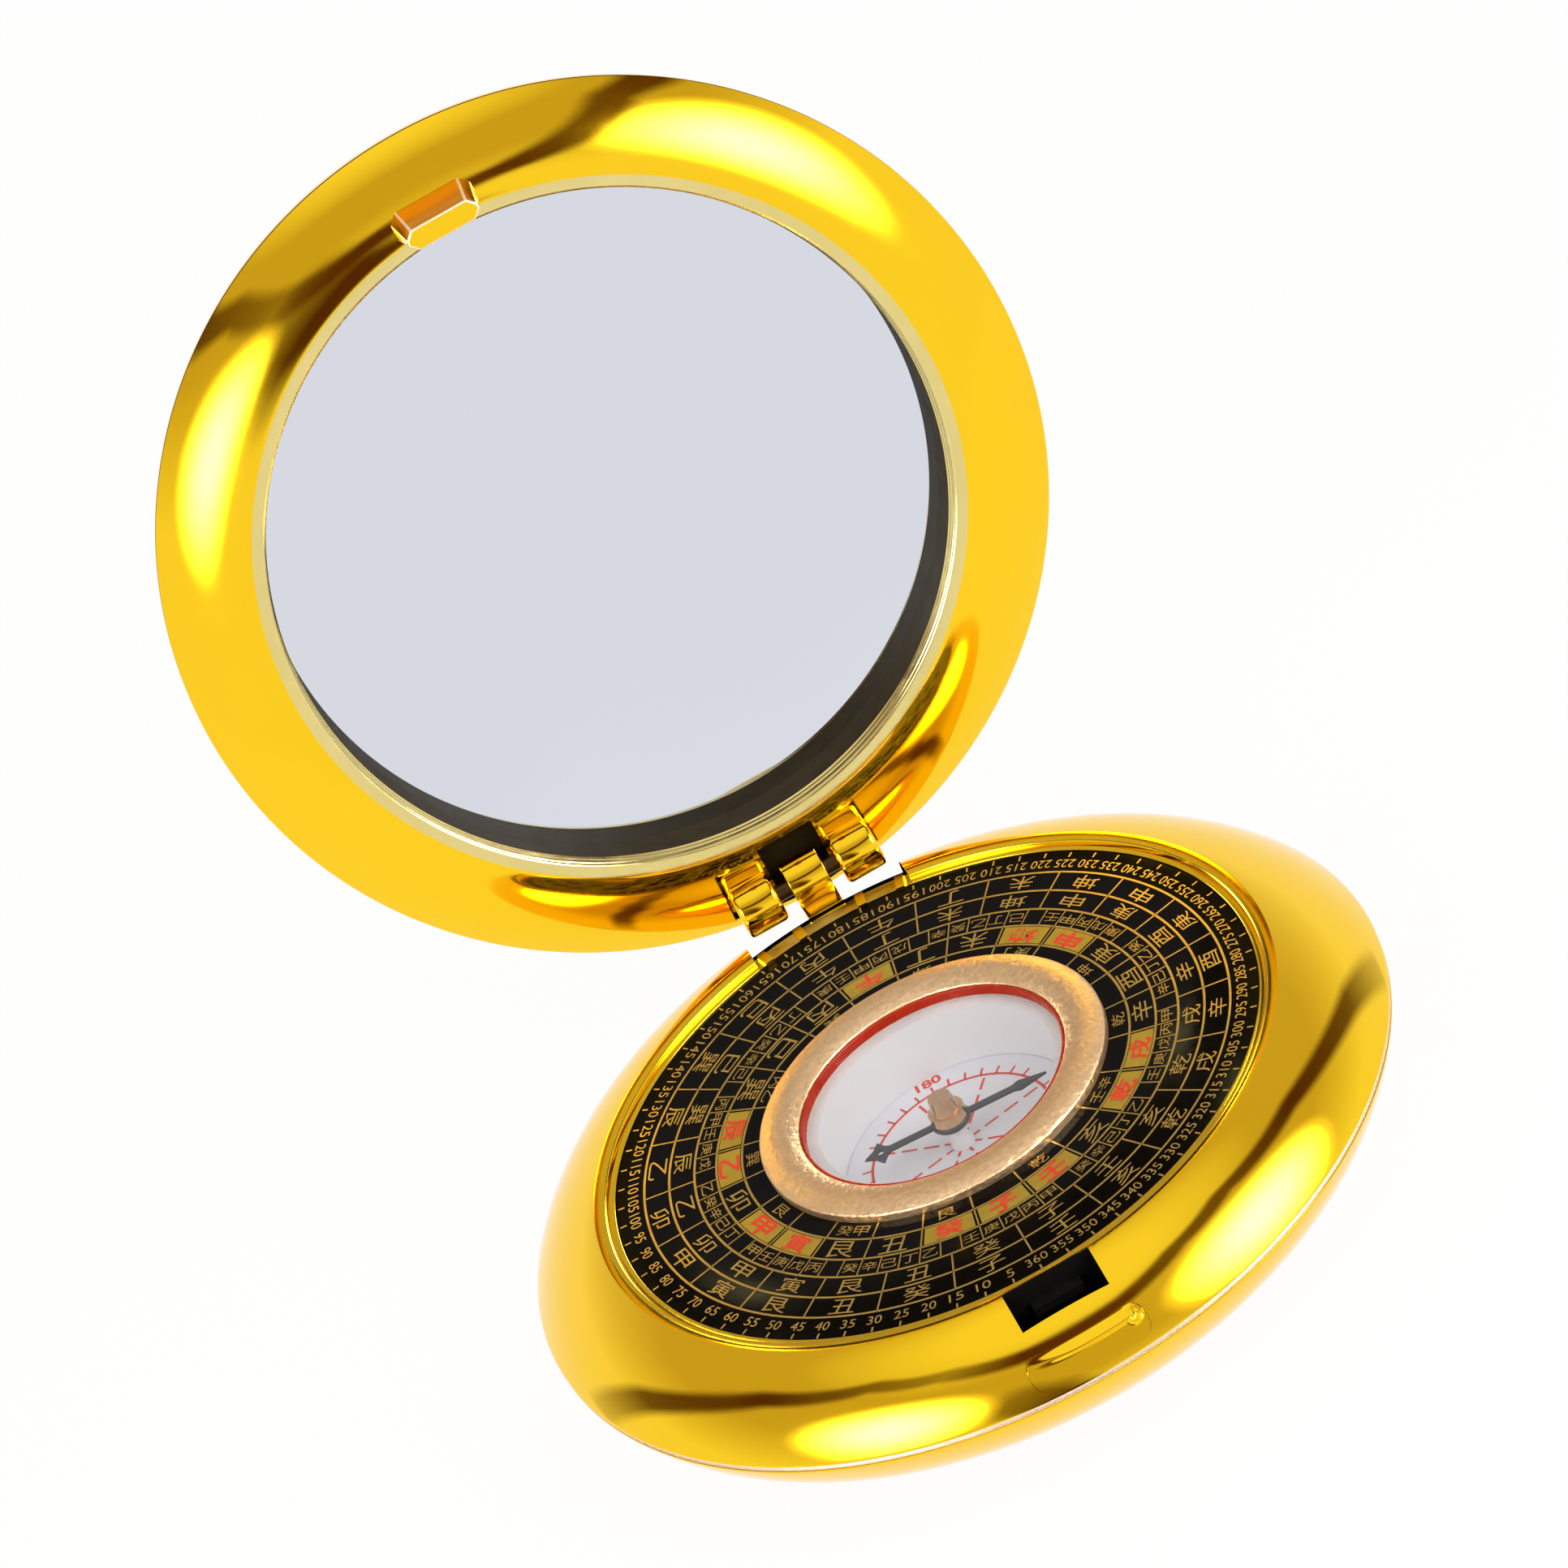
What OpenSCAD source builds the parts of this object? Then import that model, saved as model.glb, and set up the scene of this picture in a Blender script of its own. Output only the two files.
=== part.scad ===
// Round clamshell pocket compass, standing open on the flat foot of its base.
// Lengths in millimetres, angles in degrees, +Z up, hinge at the rear (+Y), latch at the front.
// The origin is the centre of the foot. Heights named _z are taken from the seam of the base.

/* [Case] */
// Largest diameter of base and lid, at their seams
body_d = 75; // [60:0.5:95]
// Height of the base seam over the foot
base_depth = 7.8; // [6.6:0.1:11]
// Distance of the flat foot's edge inside the rim
foot_in = 11.5; // [9:0.1:15]
// Width of the domed bezel from the rim to the lip
bezel_w = 7.55; // [6.8:0.05:9]
// Width of the lip round the dial
lip_w = 1.75; // [1.6:0.01:2]
// Height of the lip over the base seam
lip_rise = 5.62; // [5.3:0.02:7]
// Bulge of the domed bezel over a straight slope
dome_sag = 0.87; // [0.4:0.01:1.3]
// Thickness of the shells
wall = 1.5; // [1.2:0.05:2]
// Width of the groove along each seam
seam_w = 0.32; // [0.2:0.02:0.6]
// Depth of the groove along each seam
seam_deep = 0.4; // [0.2:0.02:0.6]
// Height of the joint ring of bezel and lid frame
spigot_h = 1.4; // [1:0.05:2]
// Thickness of the joint ring
spigot_t = 1; // [0.8:0.05:1.3]
// Thickness of the rim outside the joint ring
rim_t = 1.9; // [1.7:0.05:2.2]
// Height of the strip that joins dome and joint ring
bridge_h = 0.9; // [0.6:0.05:1.2]
// Width of the small step inside the lip
lip_step_w = 0.65; // [0.4:0.05:0.8]
// Depth of the small step inside the lip
lip_step_h = 0.42; // [0.3:0.01:0.5]

/* [Lid] */
// Gap between the lips of lid and base when closed
lip_gap = 0.26; // [0.15:0.01:0.6]
// Height of the lid seam over the lid's lip
lid_rise = 3.33; // [2.8:0.01:4.5]
// Bulge of the lid's slope
lid_sag = 0.67; // [0.3:0.01:0.9]
// Depth of the lid cover behind its seam
back_depth = 8.4; // [7.8:0.1:11]
// Distance of the flat of the lid's back inside the rim
back_in = 14.9; // [13.5:0.1:18]
// Radius of the lid's back near its seam
back_edge_r = 6.8; // [5.5:0.1:7.2]
// Width of the lid's lip
lid_lip_w = 1.13; // [0.95:0.01:1.3]
// Draft of the mirror well on the radius
well_draft = 0.27; // [0.15:0.01:0.4]
// Thickness of the wall round the mirror
well_t = 0.9; // [0.7:0.05:1.1]
// Depth of the mirror under the lid's lip
well_depth = 5.66; // [5:0.02:6]
// How far the mirror glass lies behind the well's edge
mirror_lap = 0.75; // [0.55:0.01:0.9]
// Thickness of the mirror glass
mirror_t = 1; // [0.8:0.05:1.2]
// Distance of the pad's edge inside the mirror's edge
pad_in = 4.3; // [1.5:0.1:8]
// Thickness of the pad behind the mirror
pad_t = 0.8; // [0.5:0.05:1]
// Distance of the rib that presses on the pad inside its edge
rib_in = 8; // [4:0.1:14]
// Thickness of that rib
rib_t = 1.2; // [0.8:0.1:2]

/* [Hinge] */
// Angle at which the lid stands open
open_angle = 103.8; // [60:0.2:108]
// Distance of the hinge axis inside the rim
hinge_in = 2.6; // [2.4:0.05:2.9]
// Height of the hinge axis over the base seam
hinge_z = 5.78; // [5.6:0.02:5.9]
// Outer diameter of the hinge leaves
leaf_d = 4.6; // [4.2:0.05:4.8]
// Overall width of the hinge
hinge_w = 13.1; // [12:0.1:13.6]
// Width of each leaf of the lid
lid_leaf_w = 3.7; // [3:0.1:4]
// Width of the middle leaf on the base
mid_leaf_w = 3.3; // [2.6:0.1:3.6]
// Depth of the middle leaf's post, front to back
post_deep = 3; // [2.4:0.1:3.4]
// Depth of the stepped foot of the middle leaf
leaf_foot = 3.4; // [2.8:0.1:4]
// Height of the stepped foot over the base seam
leaf_foot_z = 5.45; // [5.2:0.01:5.55]
// Diameter of the hinge pin
hinge_pin_d = 1.5; // [1.2:0.05:1.8]
// Width of the cut-out in the base behind the dial
notch_w = 14.7; // [14.4:0.1:16]
// Depth of that cut-out under the base seam
notch_deep = 1.6; // [1.2:0.05:2]
// Thickness of the walls on both sides of the cut-out
notch_wall = 1.2; // [0.9:0.05:1.6]
// Top of the low wall that is left behind the dial
low_wall_z = 5.15; // [5.1:0.01:5.2]
// How far the low wall stands out past the lip
low_wall_out = 0.3; // [0.1:0.05:0.5]
// Width of the small ribs on the low wall
nub_w = 0.8; // [0.5:0.05:1.2]
// Height of the small ribs over the low wall
nub_h = 0.35; // [0.2:0.01:0.5]
// How far the small ribs reach over the dial's edge
nub_lap = 0.3; // [0.15:0.01:0.5]
// Side distance of the inner pair of small ribs
nub_in = 3; // [2.5:0.05:3.4]
// Side distance of the outer pair of small ribs
nub_out = 6.7; // [5.5:0.05:6.8]
// Width of the pocket of the lid between its leaves
pocket_w = 5.2; // [4.6:0.05:5.6]

/* [Dial] */
// Height of the dial face over the base seam
dial_z = 5.05; // [4.98:0.01:5.09]
// Thickness of the dial plate
dial_t = 1; // [0.95:0.01:1.1]
// Thickness of the adhesive pad under the dial
dial_pad_t = 0.17; // [0.1:0.01:0.25]
// Thickness of the seat ring under the dial
seat_t = 1; // [0.8:0.05:1.1]
// Number of posts under the seat ring
boss_n = 6; // [6:4:10]
// Diameter of each post
boss_d = 4.6; // [3:0.1:5]
// Distance of the posts' axes inside the foot's edge
boss_in = 3.4; // [3:0.1:6]

/* [Capsule] */
// Inner diameter of the capsule ring
ring_in_d = 23.26; // [23.1:0.02:23.5]
// Thickness of the ring's skirt in the dial's opening
skirt_t = 2.72; // [2.3:0.02:3.2]
// How far the ring laps over the dial
ring_lap = 0.75; // [0.4:0.05:1.2]
// Height of the ring's edges over the dial face
ring_h = 0.72; // [0.6:0.01:1]
// Crown of the ring over its edges
ring_sag = 0.46; // [0.3:0.02:0.7]
// Thickness of the bowl's wall
bowl_t = 1.25; // [1:0.01:1.5]
// Depth of the bowl's floor under the base seam
bowl_floor_z = 1.3; // [0.9:0.05:1.5]
// Thickness of the bowl's floor
bowl_floor_t = 0.8; // [0.6:0.05:1]
// Width of the bowl's flange
flange_w = 2.47; // [2:0.01:2.6]
// Thickness of the bowl's flange
flange_t = 0.5; // [0.4:0.01:0.6]
// Thickness of the lens
lens_t = 0.5; // [0.4:0.01:0.6]
// Width of the sealing ring over the lens
gasket_w = 0.6; // [0.4:0.01:0.8]
// Height of the sealing ring over the lens
gasket_h = 0.82; // [0.6:0.01:0.86]
// Thickness of the printed card
card_t = 0.15; // [0.1:0.01:0.25]

/* [Needle] */
// Foot diameter of the pivot post
post_foot_d = 2.2; // [1.6:0.05:3]
// Top diameter of the pivot post
post_top_d = 1.1; // [0.9:0.05:1.5]
// Height of the post's top over the base seam
post_z = 0.85; // [0.5:0.05:1]
// Diameter of the pivot pin
pivot_d = 0.5; // [0.4:0.02:0.6]
// Height of the needle's underside over the base seam
needle_z = 1.35; // [1.25:0.01:1.45]
// Thickness of the needle
needle_t = 0.25; // [0.15:0.01:0.35]
// Angle of the needle's tip from +X
needle_angle = -5.9; // [-180:0.1:180]
// Length from the centre to the tip
needle_tip = 8.6; // [7:0.05:9.2]
// Length from the centre to the middle of the star
needle_tail = 6.3; // [5:0.05:7]
// Width of the needle's bar
needle_w = 0.62; // [0.4:0.02:0.9]
// Length of the arrow head
arrow_l = 3; // [2:0.05:4]
// Width of the arrow head
arrow_w = 1.15; // [0.8:0.05:1.6]
// Reach of the star's points
star_r = 1.35; // [1:0.05:1.5]
// Reach of the star's waists
star_waist = 0.75; // [0.6:0.02:0.9]
// Diameter of the star's hole
star_hole_d = 0.6; // [0.3:0.02:0.7]
// Diameter of the needle's hub
hub_d = 3.4; // [3.2:0.05:4]
// Inner diameter of hub, washer and cap
hub_bore_d = 1.4; // [1.3:0.02:1.6]
// Thickness of the washer under the needle
washer_t = 0.2; // [0.15:0.01:0.25]
// Diameter of the cap's flange
cap_d = 3.1; // [2.8:0.05:3.2]
// Height of the cap's flange
cap_flange_h = 1; // [0.7:0.05:1.2]
// Foot diameter of the cap's crown
crown_d = 2.5; // [2.3:0.05:2.7]
// Top diameter of the cap's crown
crown_top_d = 1.95; // [1.85:0.05:2.2]
// Height of the whole cap
cap_h = 2.4; // [2.2:0.05:2.6]
// Thickness of the cap's top
cap_top_t = 0.4; // [0.25:0.05:0.5]
// Height of the jewel
jewel_h = 0.6; // [0.4:0.05:0.7]

/* [Latch] */
// Width of the latch recess
recess_w = 7.7; // [7.4:0.05:8.2]
// How far the recess cuts into the lip
recess_lap = 0.6; // [0.5:0.01:0.7]
// Length of the recess, front to back
recess_l = 3.65; // [3.4:0.05:4]
// Width of the lug at its root
lug_w = 7.3; // [6.4:0.05:7.3]
// Width of the lug at its end
lug_end_w = 5.8; // [4.8:0.05:6.2]
// Depth of the lug at its root, front to back
lug_l = 2.9; // [2.7:0.01:3]
// Slope of the lug's inner face over its height
lug_in_taper = 0.45; // [0.3:0.01:0.5]
// Slope of the lug's outer face over its height
lug_out_taper = 0.85; // [0.6:0.05:1]
// Height of the lug under the lid's lip
lug_h = 4.6; // [4.5:0.02:4.65]
// Chamfer of the lug's four upright edges
lug_chamfer = 0.7; // [0.4:0.05:0.9]
// Depth of the catch notch in the lug
notch_in = 0.7; // [0.6:0.02:0.8]
// Width of the release button
button_w = 10.4; // [8:0.1:11]
// Lower edge of the release button over the base seam
button_lo_z = 0.85; // [0.8:0.01:0.95]
// Height of the release button
button_h = 2; // [1.8:0.02:2.1]
// Corner radius of the release button
button_r = 0.95; // [0.5:0.05:0.95]
// How far the release button stands proud
button_proud = 0.8; // [0.3:0.05:1]
// Distance of the button's flat back inside the rim
button_in = 4.2; // [4.1:0.01:4.25]
// Travel of the release button
button_travel = 1; // [0.8:0.05:1.05]
// Width of the catch slider
slider_w = 8; // [6:0.1:8.4]
// Width of the slider's tongue under the button
tongue_w = 3.4; // [2.6:0.1:4]
// Distance of the tongue's end inside the rim
tongue_in = 3.2; // [3.1:0.02:3.3]
// Thickness of the slider's plate
slider_t = 1.5; // [1.2:0.05:1.8]
// Length of the slider's plate
slider_l = 5.6; // [5.2:0.05:5.7]
// Thickness of the slider's upright
upright_t = 1.6; // [1.3:0.05:1.7]
// Height of the nose
nose_h = 0.75; // [0.6:0.02:0.8]
// Diameter of the button's peg
peg_d = 0.6; // [0.4:0.02:0.7]
// Depth of the button's peg in the slider
peg_h = 0.7; // [0.4:0.05:0.9]
// Width of the return spring
spring_w = 5; // [4:0.1:5.6]
// Thickness of the return spring's strip
strip_t = 0.4; // [0.25:0.01:0.45]
// Height of the return spring's strip
strip_h = 1.5; // [1:0.05:1.6]
// Number of double bends of the return spring
spring_n = 3; // [2:1:4]
// Length of the return spring at rest
spring_l = 6.2; // [5.8:0.05:6.4]
// Thickness of the stop and of the slider's guides
guide_t = 1; // [0.8:0.05:1.1]

/* [Clearances] */
// Running clearance at the hinge pin, on the radius
run_gap = 0.05; // [0.03:0.005:0.08]
// Amount by which the hinge pin is pressed, on the diameter
press = 0.02; // [0.01:0.005:0.04]
// Fitting clearance between fixed pieces, on the radius
fit_gap = 0.05; // [0.03:0.005:0.08]
// Clearance between the latch parts
latch_gap = 0.05; // [0.04:0.005:0.07]
// Clearance round the release button
button_gap = 0.2; // [0.15:0.01:0.25]
// Clearance at the pivot's point
pivot_gap = 0.03; // [0.02:0.005:0.05]
// Clearance between the lug and the ends of the recess
lug_gap = 0.2; // [0.15:0.01:0.25]
// Clearance of the bowl in the seat ring
seat_gap = 0.4; // [0.3:0.02:0.6]
// Clearance between the slider's upright and the lug
upright_gap = 0.5; // [0.4:0.02:0.6]
// Clearance of the lid over the middle leaf
swing_gap = 0.3; // [0.2:0.02:0.4]
// Clearance of the seat ring and walls round the slider
slide_gap = 0.3; // [0.2:0.02:0.4]

/* [Hidden] */
$fn = 96;
// How far a cutting shape runs past the faces it cuts
over = body_d / 25;

body_r = body_d / 2;
lip_r = body_r - bezel_w;
lip_in_r = lip_r - lip_w;
foot_r = body_r - foot_in;
zs = base_depth;
rab_r = body_r - rim_t;
spig_r = rab_r - fit_gap;
// arc of the bottom shell, tangent to the foot
bot_r = (pow(body_r - foot_r, 2) + pow(base_depth, 2)) / (2 * base_depth);
// arc of the domed bezel
dome_run = body_r - lip_r;
dome_c = sqrt(pow(dome_run, 2) + pow(lip_rise, 2));
dome_r = pow(dome_c, 2) / (8 * dome_sag) + dome_sag / 2;
dome_x = (body_r + lip_r) / 2 - lip_rise / dome_c * (dome_r - dome_sag);
dome_z = lip_rise / 2 - dome_run / dome_c * (dome_r - dome_sag);
// arc of the lid's slope
z_lip = lip_rise + lip_gap;
z_seam2 = z_lip + lid_rise;
lid_c = sqrt(pow(dome_run, 2) + pow(lid_rise, 2));
lid_r = pow(lid_c, 2) / (8 * lid_sag) + lid_sag / 2;
lid_x = (body_r + lip_r) / 2 - lid_rise / lid_c * (lid_r - lid_sag);
lid_z = (z_lip + z_seam2) / 2 + dome_run / lid_c * (lid_r - lid_sag);
// lid's back in two arcs
back_flat_r = body_r - back_in;
back_run = back_in;
back_r = (pow(back_run - back_edge_r, 2) + pow(back_depth, 2) - pow(back_edge_r, 2))
    / (2 * (back_depth - back_edge_r));
well_r = lip_r - lid_lip_w;
well_end_r = well_r - well_draft;
mirror_r = well_end_r + mirror_lap;
pad_r = mirror_r - pad_in;
rib_r = pad_r - rib_in;
z_mirror = z_lip + well_depth;
z_mirror_back = z_mirror + mirror_t;
z_pad_top = z_mirror_back + pad_t;
z_back_in = z_seam2 + back_depth - wall;
z_well_top = z_mirror_back;
// dial stack
z_dial_in = dial_z - dial_t;
z_seat = z_dial_in - dial_pad_t;
z_seat_lo = z_seat - seat_t;
low_wall_r = lip_r + low_wall_out;
dial_r = lip_in_r - fit_gap;
boss_r = foot_r - boss_in;
// capsule stack
ring_in_r = ring_in_d / 2;
skirt_r = ring_in_r + skirt_t;
hole_r = skirt_r + fit_gap;
ring_out_r = hole_r + ring_lap;
lens_rad = ring_in_r - fit_gap;
bowl_out_r = lens_rad;
bowl_r = bowl_out_r - bowl_t;
flange_r = bowl_out_r + flange_w;
card_r = bowl_r - fit_gap;
z_flange = z_seat + flange_t;
z_lens = z_flange + lens_t;
z_ring = dial_z + ring_h;
ring_half = (ring_out_r - ring_in_r) / 2;
ring_mid = (ring_out_r + ring_in_r) / 2;
ring_curve = pow(ring_half, 2) / (2 * ring_sag) + ring_sag / 2;
z_card = card_t - bowl_floor_z;
// needle stack
z_needle_top = needle_z + needle_t;
z_cap_top = z_needle_top + cap_h;
z_jewel_top = z_cap_top - cap_top_t;
z_jewel = z_jewel_top - jewel_h;
pivot_in = (post_z - z_card) / 2;
// latch
recess_in = lip_r - recess_lap;
recess_out = recess_in + recess_l;
lug_in = recess_in + lug_gap;
lug_out = lug_in + lug_l;
button_back = body_r - button_in;
tongue_out = body_r - tongue_in;
upright_out = lug_in - upright_gap;
slider_in = upright_out - upright_t;
slider_out = slider_in + slider_l;
stop_y = slider_in - spring_l;
slider_z = button_lo_z;
peg_y = -(button_back + tongue_out) / 2;
btn_r = min(button_r, button_h / 2);
z_nose_top = z_seat - latch_gap * 3;
z_nose = z_nose_top - nose_h;
z_lug_catch = z_nose - latch_gap;
z_lug_end = z_lip - lug_h;
z_notch_top = z_nose_top + latch_gap * 4;
nose_out = lug_in + lug_in_taper + notch_in - latch_gap * 4;
button_mid_z = button_lo_z + button_h / 2;
local_wall_z = z_seat + latch_gap * 2;
stop_z = z_seat_lo - slide_gap;
spring_pitch = (spring_l - strip_t) / (2 * spring_n);
spring_z = slider_z - slider_t;
// hinge
hinge_y = body_r - hinge_in;
leaf_r = leaf_d / 2;
pin_l = hinge_w - 2 * run_gap;
bed_w = notch_w + 2 * notch_wall;
roof_z = hinge_z + leaf_r + swing_gap;
block_h = z_well_top - z_lip - mirror_t;

// ring of rectangular section
module band(r1, r2, z1, z2) {
    translate([0, 0, zs + z1]) difference() {
        cylinder(r = r2, h = z2 - z1);
        translate([0, 0, -over]) cylinder(r = r1, h = z2 - z1 + 2 * over);
    }
}

// box given by its two corners
module slab(x1, x2, y1, y2, z1, z2) {
    translate([x1, y1, zs + z1]) cube([x2 - x1, y2 - y1, z2 - z1]);
}

// quarter section of the lid's back, made smaller by a wall thickness
module back_2d(t) {
    r1 = back_edge_r - t;
    r2 = back_r - t;
    d = back_r - back_edge_r;
    join_x = (back_run - back_edge_r) / d * r2;
    square([back_flat_r, back_depth - t]);
    translate([back_flat_r, 0]) intersection() {
        translate([0, back_depth - back_r]) circle(r = r2);
        square([join_x, back_depth]);
    }
    translate([back_flat_r, 0]) intersection() {
        translate([back_run - back_edge_r, 0]) circle(r = r1);
        translate([join_x, 0]) square([back_run, back_depth]);
    }
}

// section of the bottom shell, made smaller by a wall thickness
module bottom_2d(t) {
    translate([0, t]) square([foot_r, base_depth - t]);
    intersection() {
        translate([foot_r, bot_r]) circle(r = bot_r - t);
        translate([foot_r, t]) square([body_r, base_depth - t]);
    }
}

// solid outline of the bottom shell
module bottom_fill() {
    rotate_extrude() bottom_2d(0);
}

// solid outline of the domed bezel, from the low wall outwards
module dome_fill() {
    translate([0, 0, zs]) rotate_extrude() intersection() {
        translate([dome_x, dome_z]) circle(r = dome_r);
        translate([lip_in_r, 0]) square([body_r, lip_rise]);
    }
}

// solid outline of the lid's slope in the closed place
module slope_fill() {
    translate([0, 0, zs]) rotate_extrude() intersection() {
        translate([lid_x, lid_z]) circle(r = lid_r);
        translate([well_r, z_lip]) square([body_r, lid_rise]);
    }
}

// cut-out of the base at the hinge
module rear_notch() {
    difference() {
        slab(-notch_w / 2, notch_w / 2, 0, body_r + over, -notch_deep, lip_rise + over);
        translate([0, 0, -over]) cylinder(r = low_wall_r, h = zs + low_wall_z + over);
    }
}

// everything of the lid is drawn closed and swung open here
module swing() {
    translate([0, hinge_y, zs + hinge_z]) rotate([-open_angle, 0, 0])
        translate([0, -hinge_y, -zs - hinge_z]) children();
}

// rounded outline of the release button, seen from the front
module button_2d(g) {
    w = button_w / 2 - btn_r;
    h = button_h / 2 - btn_r;
    for (x = [-w, w], z = [-h, h]) translate([x, z]) circle(r = btn_r + g);
    square([2 * w, button_h + 2 * g], center = true);
}

// The lower half of the base with posts, spring stop and slider guides
module bottom_shell() color([0.86, 0.68, 0.14]) {
    difference() {
        union() {
            rotate_extrude() difference() {
                bottom_2d(0);
                difference() {
                    bottom_2d(wall);
                    translate([rab_r, base_depth - spigot_h - bridge_h]) square([rim_t,
                        spigot_h + bridge_h]);
                }
                translate([0, base_depth - spigot_h - fit_gap]) square([rab_r, spigot_h + over]);
            }
            intersection() {
                bottom_fill();
                slab(-bed_w / 2, bed_w / 2, lip_in_r, body_r + over, -base_depth, 0);
            }
            for (i = [0:boss_n - 1]) rotate(360 / boss_n * i)
                translate([boss_r, 0, wall / 2]) cylinder(d = boss_d, h = zs + z_seat_lo - wall / 2);
            slab(-slider_w / 2, slider_w / 2, -stop_y, guide_t - stop_y, wall / 2 - base_depth, stop_z);
            intersection() {
                bottom_fill();
                union() {
                    for (s = [-1, 1]) translate([s * (slider_w / 2 + slide_gap + guide_t / 2), 0, 0])
                        slab(-guide_t / 2, guide_t / 2, -slider_out, -slider_in, -base_depth, 0);
                    slab(-slider_w / 4, slider_w / 4, -slider_out, -slider_in, -base_depth,
                        spring_z - latch_gap);
                }
            }
        }
        rear_notch();
        difference() {
            translate([0, 0, zs - seam_w / 2]) cylinder(r = body_r + over, h = seam_w);
            cylinder(r = body_r - seam_deep, h = zs + over);
        }
    }
}

// The domed upper shell of the base with the middle hinge leaf
module base_bezel() color([0.92, 0.74, 0.16]) {
    difference() {
        union() {
            translate([0, 0, zs]) rotate_extrude() {
                difference() {
                    intersection() {
                        translate([dome_x, dome_z]) circle(r = dome_r);
                        translate([lip_in_r, 0]) square([body_r, lip_rise]);
                    }
                    intersection() {
                        translate([dome_x, dome_z]) circle(r = dome_r - wall);
                        translate([lip_r, -over]) square([body_r, lip_rise + over]);
                    }
                    translate([0, -over]) square([lip_r, z_seat_lo + over]);
                    translate([0, lip_rise - lip_step_h]) square([lip_in_r + lip_step_w, over]);
                }
                intersection() {
                    translate([dome_x, dome_z]) circle(r = dome_r);
                    translate([spig_r - spigot_t, 0]) square([spigot_t + rim_t / 2, bridge_h]);
                }
            }
            difference() {
                band(spig_r - spigot_t, spig_r, -spigot_h, bridge_h / 2);
                slab(-bed_w / 2 - fit_gap, bed_w / 2 + fit_gap, 0, body_r, -spigot_h - over, 0);
            }
            intersection() {
                dome_fill();
                slab(-bed_w / 2, bed_w / 2, lip_in_r / 2, body_r + over, 0, lip_rise);
            }
        }
        rear_notch();
        // low wall behind the dial
        slab(-notch_w / 2, notch_w / 2, lip_in_r / 2, body_r + over, low_wall_z, lip_rise + over);
        // latch recess
        slab(-recess_w / 2, recess_w / 2, -recess_out, -recess_in, -over, lip_rise + over);
        // way of the slider's upright and nose under the lip
        slab(-slider_w / 2 - slide_gap, slider_w / 2 + slide_gap, -recess_out, -lip_in_r / 2,
            -spigot_h, local_wall_z);
        slab(-tongue_w / 2 - slide_gap, tongue_w / 2 + slide_gap, -tongue_out - slide_gap,
            -recess_in, -spigot_h - over, button_mid_z);
        // slot of the release button
        translate([0, -recess_out + wall, zs + button_mid_z]) rotate([90, 0, 0])
            linear_extrude(height = body_r) button_2d(button_gap);
        difference() {
            translate([0, 0, zs - over]) cylinder(r = body_r + over, h = over + seam_w / 2);
            translate([0, 0, -over]) cylinder(r = body_r - seam_deep, h = zs + 2 * over);
        }
    }
    // middle leaf with the running bore
    difference() {
        union() {
            translate([-mid_leaf_w / 2, hinge_y, zs + hinge_z]) rotate([0, 90, 0])
                cylinder(r = leaf_r, h = mid_leaf_w);
            slab(-mid_leaf_w / 2, mid_leaf_w / 2, hinge_y - post_deep / 2, hinge_y + post_deep / 2,
                -notch_deep, hinge_z);
            slab(-mid_leaf_w / 2, mid_leaf_w / 2, low_wall_r - low_wall_out, low_wall_r + leaf_foot,
                -notch_deep, leaf_foot_z);
        }
        translate([-mid_leaf_w, hinge_y, zs + hinge_z]) rotate([0, 90, 0])
            cylinder(r = hinge_pin_d / 2 + run_gap, h = 2 * mid_leaf_w);
    }
    // small ribs on the low wall
    for (x = [-nub_out, -nub_in, nub_in, nub_out]) rotate(-asin(x / lip_r))
        slab(-nub_w / 2, nub_w / 2, dial_r - nub_lap, lip_r - low_wall_out,
            dial_z + fit_gap, low_wall_z + nub_h);
}

// Ring that carries dial and capsule
module seat_ring() color([0.18, 0.18, 0.19]) {
    difference() {
        band(bowl_out_r + seat_gap, lip_in_r - fit_gap, z_seat_lo, z_seat);
        slab(-slider_w / 2 - slide_gap, slider_w / 2 + slide_gap, -body_r,
            button_travel + slide_gap - slider_in, z_seat_lo - over, z_seat + over);
    }
}

// Adhesive pad under the dial
module dial_pad() color([0.85, 0.84, 0.78])
    band(hole_r + fit_gap, dial_r - fit_gap, z_seat, z_dial_in);

// Printed dial plate
module dial_plate() color([0.04, 0.04, 0.045])
    band(hole_r, dial_r, z_dial_in, dial_z);

// White bowl with its flange
module capsule_bowl() color([0.94, 0.94, 0.95]) {
    band(bowl_r, bowl_out_r, -bowl_floor_z - bowl_floor_t, z_flange);
    translate([0, 0, zs - bowl_floor_z - bowl_floor_t]) cylinder(r = bowl_r + bowl_t / 2,
        h = bowl_floor_t);
    band(bowl_out_r - bowl_t / 2, flange_r, z_seat, z_flange);
}

// Printed card on the floor of the bowl
module bowl_card() color([0.97, 0.97, 0.97]) {
    difference() {
        translate([0, 0, zs - bowl_floor_z]) cylinder(r = card_r, h = card_t);
        translate([0, 0, zs - bowl_floor_z - over]) cylinder(d = post_foot_d, h = 2 * over);
    }
}

// Red sealing ring over the lens, inside the capsule ring
module capsule_gasket() color([0.75, 0.12, 0.08])
    band(lens_rad - gasket_w, lens_rad, z_lens, z_lens + gasket_h);

// Flat lens on the bowl's edge
module capsule_lens() color([0.9, 0.95, 0.97, 0.35])
    translate([0, 0, zs + z_flange]) cylinder(r = lens_rad, h = lens_t);

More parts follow.
